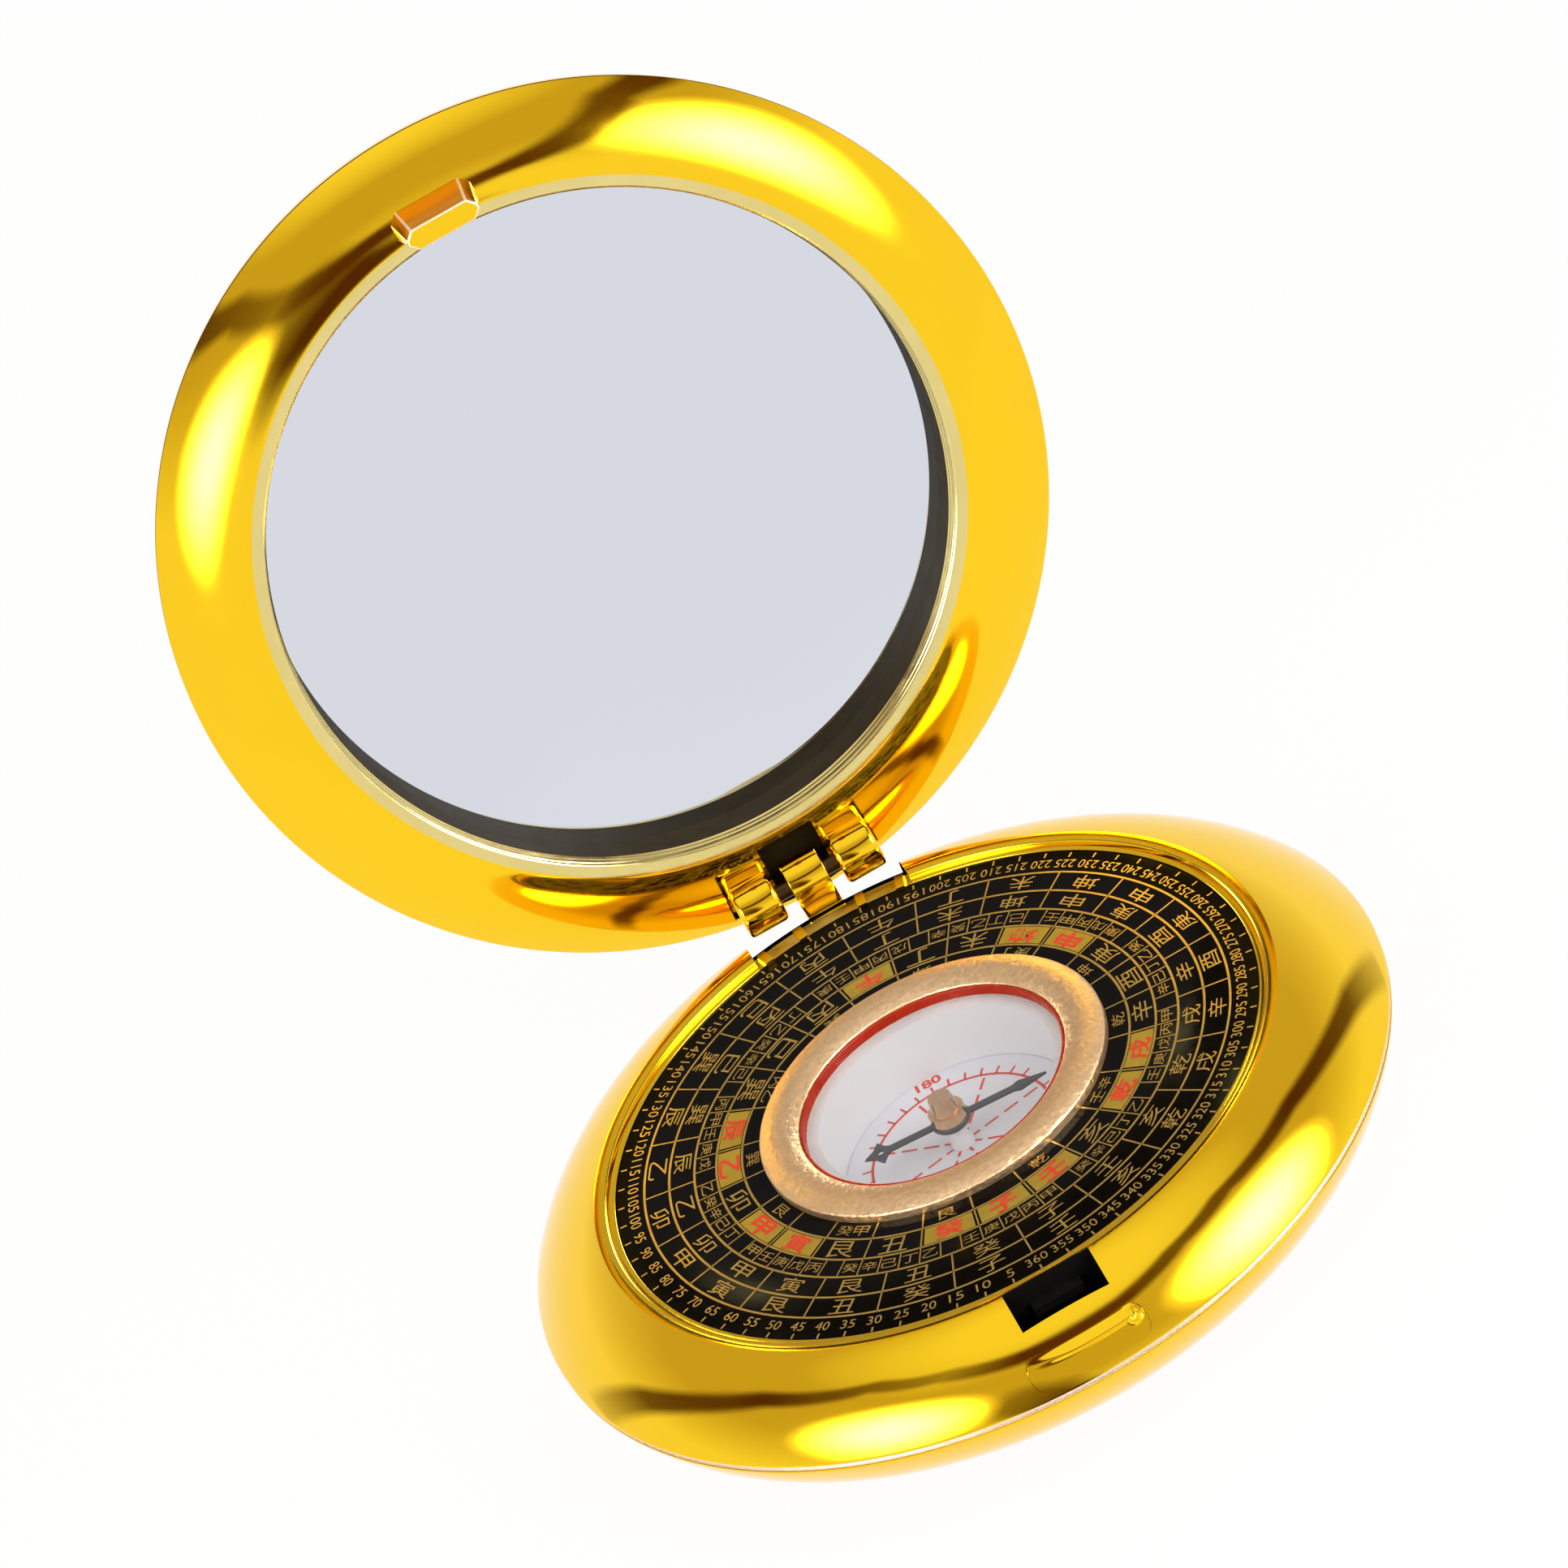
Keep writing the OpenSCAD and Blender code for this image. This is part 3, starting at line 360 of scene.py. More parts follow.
def round_off(points, soft, steps=4):
    """Rounds the corners of a closed section. soft gives the radius for the corner at each index."""
    out = []
    count = len(points)
    for i, here in enumerate(points):
        radius = soft.get(i, 0)
        if not radius:
            out.append(tuple(here))
            continue
        here = Vector(here)
        a = Vector(points[i - 1]) - here
        b = Vector(points[(i + 1) % count]) - here
        half = a.angle(b) / 2
        reach = min(radius / math.tan(half), a.length * 0.49, b.length * 0.49)
        radius = reach * math.tan(half)
        centre = here + (a.normalized() + b.normalized()).normalized() * (radius / math.sin(half))
        start = here + a.normalized() * reach - centre
        end = here + b.normalized() * reach - centre
        for k in range(steps + 1):
            v = start.lerp(end, k / steps).normalized() * radius
            out.append(tuple(centre + v))
    return out


def turned(name, section, finishes, choose=None, steps=256):
    """Turns a closed section of (radius, height) about the Z axis. choose picks the finish of each side."""
    count = len(section)
    points = []
    for k in range(steps):
        a = 2 * math.pi * k / steps
        points += [(r * math.sin(a), -r * math.cos(a), z) for r, z in section]
    faces = []
    marks = []
    for k in range(steps):
        n = (k + 1) % steps
        for i in range(count):
            j = (i + 1) % count
            if section[i][0] == 0 and section[j][0] == 0:
                continue
            faces.append((k * count + i, n * count + i, n * count + j, k * count + j))
            middle = ((section[i][0] + section[j][0]) / 2, (section[i][1] + section[j][1]) / 2)
            marks.append(choose(*middle) if choose else GOLD)
    thing = mesh_object(name, points, faces, *finishes)
    thing.data.polygons.foreach_set("material_index", marks)
    work = bmesh.new()
    work.from_mesh(thing.data)
    bmesh.ops.remove_doubles(work, verts=work.verts, dist=1e-8)
    bmesh.ops.dissolve_degenerate(work, edges=work.edges, dist=1e-9)
    bmesh.ops.recalc_face_normals(work, faces=work.faces)
    work.to_mesh(thing.data)
    work.free()
    return thing


def block(name, x, y, z, finishes, mark=0):
    points = [(a, b, c) for a in x for b in y for c in z]
    faces = [(0, 1, 3, 2), (4, 6, 7, 5), (0, 4, 5, 1), (2, 3, 7, 6), (0, 2, 6, 4), (1, 5, 7, 3)]
    thing = mesh_object(name, points, faces, *finishes)
    thing.data.polygons.foreach_set("material_index", [mark] * len(faces))
    return thing


def carve(thing, cutter, kind="DIFFERENCE"):
    """Cuts the cutter out of the thing, or keeps only what both share, and removes the cutter."""
    change = thing.modifiers.new("carve", "BOOLEAN")
    change.operation = kind
    change.solver = "EXACT"
    change.object = cutter
    bpy.context.view_layer.update()
    graph = bpy.context.evaluated_depsgraph_get()
    result = bpy.data.meshes.new_from_object(thing.evaluated_get(graph))
    thing.modifiers.remove(change)
    thing.data = result
    bpy.data.objects.remove(cutter)


def join(thing, *others):
    work = bmesh.new()
    work.from_mesh(thing.data)
    for other in others:
        work.from_mesh(other.data)
        bpy.data.objects.remove(other)
    work.to_mesh(thing.data)
    work.free()


def smooth(thing, angle=32):
    thing.data.polygons.foreach_set("use_smooth", [True] * len(thing.data.polygons))
    thing.data.set_sharp_from_angle(angle=math.radians(angle))


def plate_along(name, outline, axis, start, end, soft, *finishes):
    """A plate of one outline, pushed along axis X or Y from start to end, with its rims rounded."""
    work = bmesh.new()
    if axis == "X":
        corners = [(start, u, v) for u, v in outline]
        push = Vector((end - start, 0, 0))
    else:
        corners = [(u, start, v) for u, v in outline]
        push = Vector((0, end - start, 0))
    face = work.faces.new([work.verts.new(corner) for corner in corners])
    grown = bmesh.ops.extrude_face_region(work, geom=[face])["geom"]
    bmesh.ops.translate(work, verts=[v for v in grown if isinstance(v, bmesh.types.BMVert)], vec=push)
    bmesh.ops.recalc_face_normals(work, faces=work.faces)
    if soft:
        rims = [e for e in work.edges if abs(e.verts[0].co.dot(push) - e.verts[1].co.dot(push)) < 1e-9]
        bmesh.ops.bevel(work, geom=rims, offset=soft, segments=3, profile=0.5, affect="EDGES",
                        clamp_overlap=True)
    bmesh.ops.scale(work, verts=work.verts, vec=(MM, MM, MM))
    thing = mesh_object(name, [], [], *finishes)
    work.to_mesh(thing.data)
    work.free()
    return thing


rim = 37.5
lip = 29.95
lip_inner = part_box("dial_plate")[1].x / MM + 0.05
lip_top = SEAM + 5.62
lip_step = 0.42
lip_wide = 0.65
dial_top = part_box("dial_plate")[1].z / MM
wall = 1.5
seat_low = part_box("seat_ring")[0].z / MM
groove = rim - 0.4
groove_half = 0.16
dome_sag = 0.85
dome_steps = 24
dome = bend((rim, SEAM + groove_half), (lip, lip_top), dome_sag, dome_steps)
inner_dome = [(r - wall * 0.62, z - wall * 0.78) for r, z in reversed(dome)]
inner_dome = [(r, max(z, SEAM)) for r, z in inner_dome if r > lip]
section = [(lip_inner, seat_low), (lip_inner, lip_top - lip_step),
           (lip_inner + lip_wide, lip_top - lip_step), (lip_inner + lip_wide, lip_top), (lip, lip_top)]
last_dome = len(section) + dome_steps - 1
section += list(reversed(dome))[1:]
section += [(groove, SEAM + groove_half), (groove, SEAM)]
section += list(reversed(inner_dome))
section += [(lip, inner_dome[0][1]), (lip, seat_low)]
corners = {1: 0.06, 3: 0.2, 4: 0.4, last_dome: 0.25}
edge_line = rim - 0.45
slack = 0.01


# Painted highlight: the seam groove of the bezel takes the pale finish.
def bezel_finish(r, z):
    if r > edge_line:
        return HIGHLIGHT_LINE if z < SEAM + 2 * groove_half else GOLD
    inside = r > lip - slack and any(r < q[0] + slack and z < q[1] + slack for q in inner_dome)
    return BLACK if z < SEAM + 0.05 or inside else GOLD


bezel = turned("bezel", round_off(section, corners), shell_finishes, bezel_finish)
notch_half = 7.35
bed_half = notch_half + 1.2
low_wall = dial_top + 0.1
past_rim = 45
above = 30
bed = turned("bed", [(lip - 0.5, SEAM), (lip - 0.5, lip_top - 0.6)]
             + [(r, z - 0.03) for r, z in reversed(dome)][1:-1] + [(edge_line, SEAM)], shell_finishes)


def keep_rear(thing):
    """Keeps only the part of a bed round the notch of the hinge."""
    rear = block("rear", (-bed_half, bed_half), (20, past_rim), (0, above), shell_finishes)
    carve(thing, rear, "INTERSECT")


# The faces cut by the notch take the duller gold as painted shade.
def notch_block(low):
    """The cutter of the hinge notch, with the low wall beside the dial kept free."""
    wall_r = 30.25
    notch = block("notch", (-notch_half, notch_half), (0, past_rim), (low, above), shell_finishes, MUTED_SHADE)
    keep = turned("keep", [(0, -1), (wall_r, -1), (wall_r, low_wall), (0, low_wall)], shell_finishes,
                  lambda r, z: MUTED_SHADE)
    carve(notch, keep)
    return notch


keep_rear(bed)
recess_half = 3.85
recess_in = -29.35
recess_out = -33
carve(bezel, block("recess", (-recess_half, recess_half), (recess_out, recess_in), (0, 20), shell_finishes,
                   BLACK))
slot_run = 4.25
slot_end = 0.96
slot_low = SEAM + 1.8
slot_high = SEAM + 2.05
slot_outline = []
for cx, cz, a in ((slot_run, slot_low, -90), (slot_run, slot_high, 0), (-slot_run, slot_high, 90),
                  (-slot_run, slot_low, 180)):
    slot_outline += arc(cx, cz, slot_end, a, a + 90, 6)
carve(bezel, plate_along("button_slot", slot_outline, "Y", -past_rim, -31.5, 0))
carve(bezel, notch_block(0))
carve(bed, notch_block(0))
join(bezel, bed)

hinge_y = 34.9
hinge_z = SEAM + 5.78
leaf_r = 2.3
foot_z = SEAM + 5.45
foot_y = hinge_y - math.sqrt(leaf_r ** 2 - (hinge_z - foot_z) ** 2)
notch_low = SEAM - 1.6
middle_outline = [(lip, notch_low), (lip, foot_z), (foot_y, foot_z)]
middle_outline += list(reversed(arc(hinge_y, hinge_z, leaf_r, -50, 187, 26)))
middle_outline += [(hinge_y + 1.5, notch_low)]
middle_half = 1.65
middle = plate_along("middle", middle_outline, "X", -middle_half, middle_half, 0.3, gold_plate)
rib_half = 0.4
rib_in = 27.85
rib_out = 29.6
rib_low = dial_top + 0.05
rib_high = low_wall + 0.35
ribs = []
for x in (-6.7, -3, 3, 6.7):
    rib = block("rib", (-rib_half, rib_half), (rib_in, rib_out), (rib_low, rib_high), [gold_plate])
    rib.data.transform(Matrix.Rotation(-math.asin(x / lip), 4, "Z"))
    ribs.append(rib)
join(bezel, middle, *ribs)
smooth(bezel)
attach(bezel, "base")
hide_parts("base_bezel")

foot = 26
bottom_r = 12.378
outer_end = math.degrees(math.asin((SEAM - groove_half - bottom_r) / bottom_r))
inner_end = math.degrees(math.asin((SEAM - bottom_r) / (bottom_r - wall)))
outer_low = arc(foot, bottom_r, bottom_r, -90, outer_end, 24)
inner_low = arc(foot, bottom_r, bottom_r - wall, inner_end, -90, 20)
section = [(0, 0)] + outer_low + [(groove, SEAM - groove_half), (groove, SEAM)] + inner_low + [(0, wall)]
# Painted highlight: the seam groove of the bottom takes the pale finish.
bottom = turned("bottom", round_off(section, {25: 0.2}), shell_finishes,
                lambda r, z: HIGHLIGHT_LINE if r > edge_line and z > SEAM - groove_half - slack else GOLD)
bed_low = SEAM - 4.5
bed = turned("bed", [(lip - 0.5, bed_low), (lip - 0.5, SEAM), (edge_line, SEAM), (rim - 0.85, SEAM - 2),
                     (rim - 3.4, bed_low)], shell_finishes)
keep_rear(bed)
carve(bottom, notch_block(notch_low))
carve(bed, notch_block(notch_low))
join(bottom, bed)
smooth(bottom)
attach(bottom, "base")
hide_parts("bottom_shell")

open_angle = 103.8
swing = (Matrix.Translation(Vector((0, hinge_y, hinge_z)) * MM)
         @ Matrix.Rotation(math.radians(-open_angle), 4, "X")
         @ Matrix.Translation(Vector((0, -hinge_y, -hinge_z)) * MM))
lid_lip = SEAM + 5.88
lid_seam = lid_lip + 3.33
mirror_z = lid_lip + 5.66
mirror_edge = 28.55
well_r = 29.35
well_wall = 30.2
well_top = mirror_z + 1
slope = bend((lip, lid_lip), (rim, lid_seam - groove_half), 0.66, 24)
under_slope = [(r, min(z + wall, lid_seam)) for r, z in slope if r > 30.3]
section = [(28.82, lid_lip + 0.05)] + slope + [(groove, lid_seam - groove_half), (groove, lid_seam)]
section += [(r, z) for r, z in reversed(under_slope) if z < lid_seam]
section += [(well_wall, under_slope[0][1]), (well_wall, well_top), (well_r, well_top), (well_r, mirror_z)]
section += [(mirror_edge, mirror_z), (28.6, lid_lip + 1.5), (28.7, lid_lip + 1.4), (28.72, lid_lip + 0.9),
            (28.8, lid_lip + 0.82)]


# Painted shade: the wall of the mirror well is nearly black, and the ledges and flat lip inside the rim wear
# the duller gold.
def lid_finish(r, z):
    if r < 29.3 and z > lid_lip + 1.6:
        return SHADOW
    return MUTED_SHADE if r < lip else GOLD


lid_frame = turned("lid_rim", round_off(section, {0: 0.3}), shell_finishes, lid_finish)
bed_in = 30.1
bed = turned("bed", [(bed_in, lid_lip + 0.3)] + [(r, z + 0.03) for r, z in slope][1:-1]
             + [(edge_line, lid_seam), (bed_in, lid_seam)], shell_finishes)
keep_rear(bed)
pocket_half = 2.6
# The walls of the hinge pocket take the nearly black painted shade.
for thing in (lid_frame, bed):
    carve(thing, block("pocket", (-pocket_half, pocket_half), (lip + 0.75, past_rim),
                       (lid_lip - 3, hinge_z + pocket_half), shell_finishes, SHADOW))
join(lid_frame, bed)
leaf_half = 1.85
leaf_outline = [(hinge_y - leaf_r, lid_seam - 0.5)] + arc(hinge_y, hinge_z, leaf_r, 180, 420, 26)
leaf_outline += [(hinge_y + leaf_r / 2, lid_seam - 0.5)]
# The lid's two outer leaves wear the duller gold as painted shade.
for x in (-4.7, 4.7):
    join(lid_frame, plate_along("leaf", leaf_outline, "X", x - leaf_half, x + leaf_half, 0.4, muted_gold_shade))
lid_frame.data.transform(swing)
smooth(lid_frame)
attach(lid_frame, "lid")
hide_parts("lid_frame")

edge_r = 6.8
back_flat = 22.6
back_depth = 8.4
back_run = rim - back_flat
back_r = ((back_run - edge_r) ** 2 + back_depth ** 2 - edge_r ** 2) / (2 * (back_depth - edge_r))
joint_angle = math.degrees(math.acos((back_run - edge_r) / (back_r - edge_r)))


def back_section(t):
    """The curve of the lid's back at depth t in its wall, from the seam to the middle."""
    side = arc(back_flat + back_run - edge_r, lid_seam, edge_r - t, 0, joint_angle, 14)
    crown = arc(back_flat, lid_seam + back_depth - back_r, back_r - t, joint_angle, 90, 14)
    return side + crown[1:]


section = [(groove, lid_seam), (groove, lid_seam + groove_half), (rim, lid_seam + groove_half)]
section += back_section(0)[1:] + [(0, lid_seam + back_depth), (0, lid_seam + back_depth - wall)]
section += list(reversed(back_section(wall)))
cover = turned("cover", section, shell_finishes)
cover.data.transform(swing)
smooth(cover)
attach(cover, "lid")
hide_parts("lid_cover")


# Dial. A black glossy plate printed in gold with rings of cells, traditional direction signs and
# numbers, some cells filled with gold under red signs. An adhesive pad holds it on the seat ring.
dial_gloss = worn("dial_gloss", 6, (0.002, 0.0015, 0.001), (0.005, 0.004, 0.003), 5, 0.06, 0.05,
                  {"Specular IOR Level": 0.05})
gold_ink = worn("gold_ink", 1.5, (0.40, 0.26, 0.06), (0.52, 0.35, 0.09), 0.5, 0.15, 0.3, {"Metallic": 0.85})
gold_block = worn("gold_block", 1.2, (0.34, 0.23, 0.015), (0.44, 0.31, 0.03), 0.5, 0.15, 0.4,
                  {"Metallic": 0.7})
red_ink = worn("red_ink", 1.5, (0.60, 0.018, 0.004), (0.72, 0.045, 0.008), 0.5, 0.1, 0.35,
               {"Specular IOR Level": 0.2})
glue_film = worn("glue_film", 3, (0.55, 0.53, 0.45), (0.62, 0.60, 0.52), 2, 0.2, 0.5, {})


def wear(node, finish):
    """Gives its finish to a part that keeps the shape of the frame."""
    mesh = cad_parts[node].data
    mesh.materials.clear()
    mesh.materials.append(finish)


wear("seat_ring", bare_black)
wear("dial_pad", glue_film)
wear("dial_plate", dial_gloss)


def evaluated_mesh(thing):
    bpy.context.view_layer.update()
    graph = bpy.context.evaluated_depsgraph_get()
    return bpy.data.meshes.new_from_object(thing.evaluated_get(graph))


def spokes(name, count, inner, outer, width, start, height, finish):
    """Geometry nodes lay thin bars round a ring, each along its radius."""
    tree = bpy.data.node_groups.new(name, "GeometryNodeTree")
    tree.interface.new_socket("Geometry", in_out="INPUT", socket_type="NodeSocketGeometry")
    sizes = {"Count": count, "Inner": inner * MM, "Outer": outer * MM, "Width": width * MM,
             "Start": -math.radians(start), "Height": height * MM}
    keys = {}
    for label, value in sizes.items():
        kind = "NodeSocketInt" if label == "Count" else "NodeSocketFloat"
        socket = tree.interface.new_socket(label, in_out="INPUT", socket_type=kind)
        keys[socket.identifier] = value
    tree.interface.new_socket("Geometry", in_out="OUTPUT", socket_type="NodeSocketGeometry")
    given = add_node(tree, "NodeGroupInput").outputs
    inside = Number(tree, given["Inner"])
    outside = Number(tree, given["Outer"])
    bar = add_node(tree, "GeometryNodeMeshGrid", {}, {"Vertices X": 2, "Vertices Y": 2,
                                                      "Size X": given["Width"], "Size Y": outside - inside})
    middle = add_node(tree, "ShaderNodeCombineXYZ", {}, {"Y": (outside + inside) * -0.5,
                                                         "Z": given["Height"]})
    placed = add_node(tree, "GeometryNodeTransform", {}, {"Geometry": bar.outputs["Mesh"],
                                                          "Translation": middle.outputs[0]})
    points = add_node(tree, "GeometryNodePoints", {}, {"Count": given["Count"]})
    index = Number(tree, add_node(tree, "GeometryNodeInputIndex").outputs[0])
    turn = index * (-2 * math.pi) / given["Count"] + given["Start"]
    angle = add_node(tree, "ShaderNodeCombineXYZ", {}, {"Z": turn})
    bars = add_node(tree, "GeometryNodeInstanceOnPoints", {}, {"Points": points.outputs[0],
                                                               "Instance": placed.outputs[0],
                                                               "Rotation": angle.outputs[0]})
    real = add_node(tree, "GeometryNodeRealizeInstances", {}, {0: bars.outputs[0]})
    paint = add_node(tree, "GeometryNodeSetMaterial", {}, {"Geometry": real.outputs[0], "Material": finish})
    add_node(tree, "NodeGroupOutput", {}, {0: paint.outputs[0]})
    thing = mesh_object(name, [(0, 0, 0)], [])
    grow = thing.modifiers.new("spokes", "NODES")
    grow.node_group = tree
    for key, value in keys.items():
        grow[key] = value
    result = evaluated_mesh(thing)
    thing.modifiers.remove(grow)
    thing.data = result
    return thing


def print_ring(name, radius, width, height, finish, start=0, end=360):
    """A flat printed band round the dial, or a piece of one from the angle start to the angle end."""
    count = max(2, int((end - start) / 2))
    points = []
    for i in range(count + 1):
        a = math.radians(start + (end - start) * i / count)
        for r in (radius - width / 2, radius + width / 2):
            points.append((-r * math.sin(a), -r * math.cos(a), height))
    faces = [(2 * i, 2 * i + 2, 2 * i + 3, 2 * i + 1) for i in range(count)]
    return mesh_object(name, points, faces, finish)


glyph_store = {}


def glyph(text, heavy):
    """Points and faces of one short text, fitted to a box of width and height one."""
    if (text, heavy) not in glyph_store:
        curve = bpy.data.curves.new("sign", "FONT")
        curve.body = text
        curve.offset = heavy
        curve.resolution_u = 3
        holder = bpy.data.objects.new("sign", curve)
        bpy.context.scene.collection.objects.link(holder)
        mesh = evaluated_mesh(holder)
        points = np.array([v.co[:2] for v in mesh.vertices])
        low = points.min(0)
        size = points.max(0) - low
        faces = [tuple(f.vertices) for f in mesh.polygons]
        bpy.data.objects.remove(holder)
        bpy.data.meshes.remove(mesh)
        bpy.data.curves.remove(curve)
        glyph_store[text, heavy] = (points - low - size / 2) / size, faces
    return glyph_store[text, heavy]


class Print:
    """Gathers signs of one ink into one thin mesh."""

    def __init__(self, heavy=0):
        self.heavy = heavy
        self.points = []
        self.faces = []

    def sign(self, text, angle, radius, width, height, z):
        flat, faces = glyph(text, self.heavy)
        a = math.radians(angle)
        up = Vector((math.sin(a), math.cos(a)))
        across = Vector((math.cos(a), -math.sin(a)))
        middle = -up * radius
        start = len(self.points)
        for u, v in flat:
            p = middle + across * (u * width) + up * (v * height)
            self.points.append((p.x, p.y, z))
        self.faces += [tuple(start + i for i in f) for f in faces]

    def made(self, name, finish):
        return mesh_object(name, self.points, self.faces, finish)


ink_z = dial_top + 0.012
sign_z = dial_top + 0.03
gold_signs = Print()
red_signs = Print(0.022)
mountain = "子癸丑艮寅甲卯乙辰巽巳丙午丁未坤申庚酉辛戌乾亥壬"
filled = "子癸寅甲乙辰午坤申戌乾壬"
stems = "甲乙丙丁戊己庚辛壬癸"
cell = 360 / len(mountain)
number_r = 26.65
outer_r = 24.55
second_r = 22.32
small_r = 20.22
main_r = 18.1
inner_r = 16.05
for k, letter in enumerate(mountain):
    gold_signs.sign(letter, cell * (k + 0.5), outer_r, 2.3, 1.6, sign_z)
    gold_signs.sign(mountain[(k + 1) % 24], cell * (k + 0.5), second_r, 2.3, 1.55, sign_z)
    if letter in filled:
        red_signs.sign(letter, cell * k, main_r, 2.5, 1.85, sign_z)
    else:
        gold_signs.sign(letter, cell * k, main_r, 2.5, 1.8, sign_z)
for j in range(12):
    for n in range(5):
        gold_signs.sign(stems[(j + 2 * n) % 10], 30 * j - 10 + 5 * n, small_r, 1.35, 1.0, sign_z)
inner_signs = {15: "艮", 45: "甲癸", 75: "艮", 105: "巽", 135: "乙丙", 165: "巽", 195: "坤", 225: "丁庚",
               255: "坤", 285: "乾", 315: "辛壬", 345: "乾"}
for angle, text in inner_signs.items():
    if len(text) == 1:
        gold_signs.sign(text, angle, inner_r, 1.6, 1.15, sign_z)
    else:
        for n, letter in enumerate(text):
            gold_signs.sign(letter, angle + (n - 0.5) * 5.6, inner_r, 1.4, 1.1, sign_z)
for degree in range(5, 365, 5):
    gold_signs.sign(str(degree), degree, number_r, 0.63 * len(str(degree)), 0.95, sign_z)

line_radii = (25.66, 23.44, 21.2, 19.25, 16.98)
gold_print = gold_signs.made("gold_print", gold_ink)
lines = [print_ring("line", radius, 0.2, ink_z, gold_ink) for radius in line_radii]
lines.append(spokes("degree_ticks", 72, 27.45, 28.0, 0.16, 0, ink_z, gold_ink))
lines.append(spokes("outer_cells", 24, 21.2, 25.66, 0.15, 0, ink_z, gold_ink))
lines.append(spokes("small_cells", 72, 19.25, 21.2, 0.12, 2.5, ink_z, gold_ink))
lines.append(spokes("sign_cells", 24, 15.2, 19.25, 0.15, 7.5, ink_z, gold_ink))
join(gold_print, *lines)
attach(gold_print, "base")
red_print = red_signs.made("red_print", red_ink)
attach(red_print, "base")
fill_half = 6.7
fills = [print_ring("gold_fills", 18.12, 1.95, ink_z, gold_block, cell * k - fill_half, cell * k + fill_half)
         for k, letter in enumerate(mountain) if letter in filled]
join(*fills)
gold_fills = fills[0]
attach(gold_fills, "base")


# Bowl, card and lens. A white plastic bowl with a clear lens over it. On its floor lies a white
# paper card, printed with a red circle of degree ticks and red guide lines.
white_gloss = worn("white_gloss", 8, (0.74, 0.75, 0.77), (0.79, 0.80, 0.82), 3, 0.1, 0.25, {})
white_paper = worn("white_paper", 1.5, (0.66, 0.66, 0.72), (0.70, 0.70, 0.76), 1, 0.1, 0.6, {})
wear("capsule_bowl", white_gloss)
wear("bowl_card", white_paper)

lens_clear, tree, shader = new_finish("lens_clear", {"Transmission Weight": 1, "IOR": 1.49,
                                                     "Specular IOR Level": 0.3})
tint(tree, cloud(tree, 8), (0.97, 0.98, 0.99), (1, 1, 1), shader.inputs["Base Color"])
(cloud(tree, 4) * 0.01).into(shader.inputs["Roughness"])
unlit = ray(tree, "Is Shadow Ray").work("MAXIMUM", ray(tree, "Is Diffuse Ray"))
lay_over(tree, unlit, shader, add_node(tree, "ShaderNodeBsdfTransparent"))
wear("capsule_lens", lens_clear)

card_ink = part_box("bowl_card")[1].z / MM + 0.012
circle_r = 8.0
line_half = 0.12
card_print = print_ring("card_print", circle_r, 0.25, card_ink, red_ink)
red_lines = [spokes("card_ticks", 36, circle_r, 8.9, 0.2, 0, card_ink, red_ink)]
marks = Print(0.03)
marks.sign("180", 0, -9.6, 2.3, 1.1, card_ink)
red_lines.append(marks.made("mark", red_ink))
dashes = ((-7.6, -6.2), (-5.6, -4.2), (-3.6, -2.2), (-1.7, 1.7), (2.2, 3.6), (4.2, 5.6), (6.2, 7.6))
for a in range(12, 192, 45):
    c = Vector((math.cos(math.radians(a)), math.sin(math.radians(a))))
    s = Vector((-c.y, c.x)) * line_half
    for start, end in dashes:
        corners = (c * start - s, c * end - s, c * end + s, c * start + s)
        red_lines.append(mesh_object("dash", [(*p, card_ink) for p in corners], [(0, 1, 2, 3)], red_ink))
join(card_print, *red_lines)
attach(card_print, "base")


# Capsule ring. A turned brass-coloured ring with a matt blasted finish and a crowned top.
# It is pressed round the lens and stands over the dial.
satin_brass, tree, shader = new_finish("satin_brass", {"Metallic": 1})
tint(tree, cloud(tree, 0.5, 3.0, 0.7), (0.48, 0.30, 0.15), (0.84, 0.60, 0.36), shader.inputs["Base Color"])
(cloud(tree, 0.4) * 0.15 + 0.36).into(shader.inputs["Roughness"])
relief(tree, cloud(tree, 0.5, 3.0), 0.12, shader)

ring_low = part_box("capsule_ring")[0].z / MM
crown = 0.46
ring_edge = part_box("capsule_ring")[1].z / MM - crown
ring_foot = dial_top + 0.02
neck_r = 14.35
ring_r = 15.15
bore_r = 11.63
section = [(neck_r, ring_low), (neck_r, ring_foot), (ring_r, ring_foot), (ring_r, ring_edge)]
section += bend((ring_r, ring_edge), (bore_r, ring_edge), crown, 16)[1:-1]
section += [(bore_r, ring_edge), (bore_r, ring_low)]
capsule_rim = turned("capsule_rim", round_off(section, {3: 0.3, 19: 0.25}), [satin_brass])
smooth(capsule_rim)
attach(capsule_rim, "base")
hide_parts("capsule_ring")


# Seal. A thin band of red rubber stands on the lens, inside the capsule ring, and holds the lens down.
# It is moulded in one piece and shows only as a red wall under the crown of the ring.
red_rubber = worn("red_rubber", 2, (0.34, 0.012, 0.002), (0.50, 0.03, 0.004), 1, 0.1, 0.22,
                  {"Specular IOR Level": 0.15})
seal_low, seal_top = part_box("capsule_gasket")
seal_r = seal_top.x / MM
seal_in = seal_r - 0.25
section = [(seal_in, seal_low.z / MM), (seal_r, seal_low.z / MM), (seal_r, seal_top.z / MM),
           (seal_in, seal_top.z / MM)]
seal = turned("seal", round_off(section, {2: 0.1, 3: 0.1}), [red_rubber])
smooth(seal)
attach(seal, "base")
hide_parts("capsule_gasket")


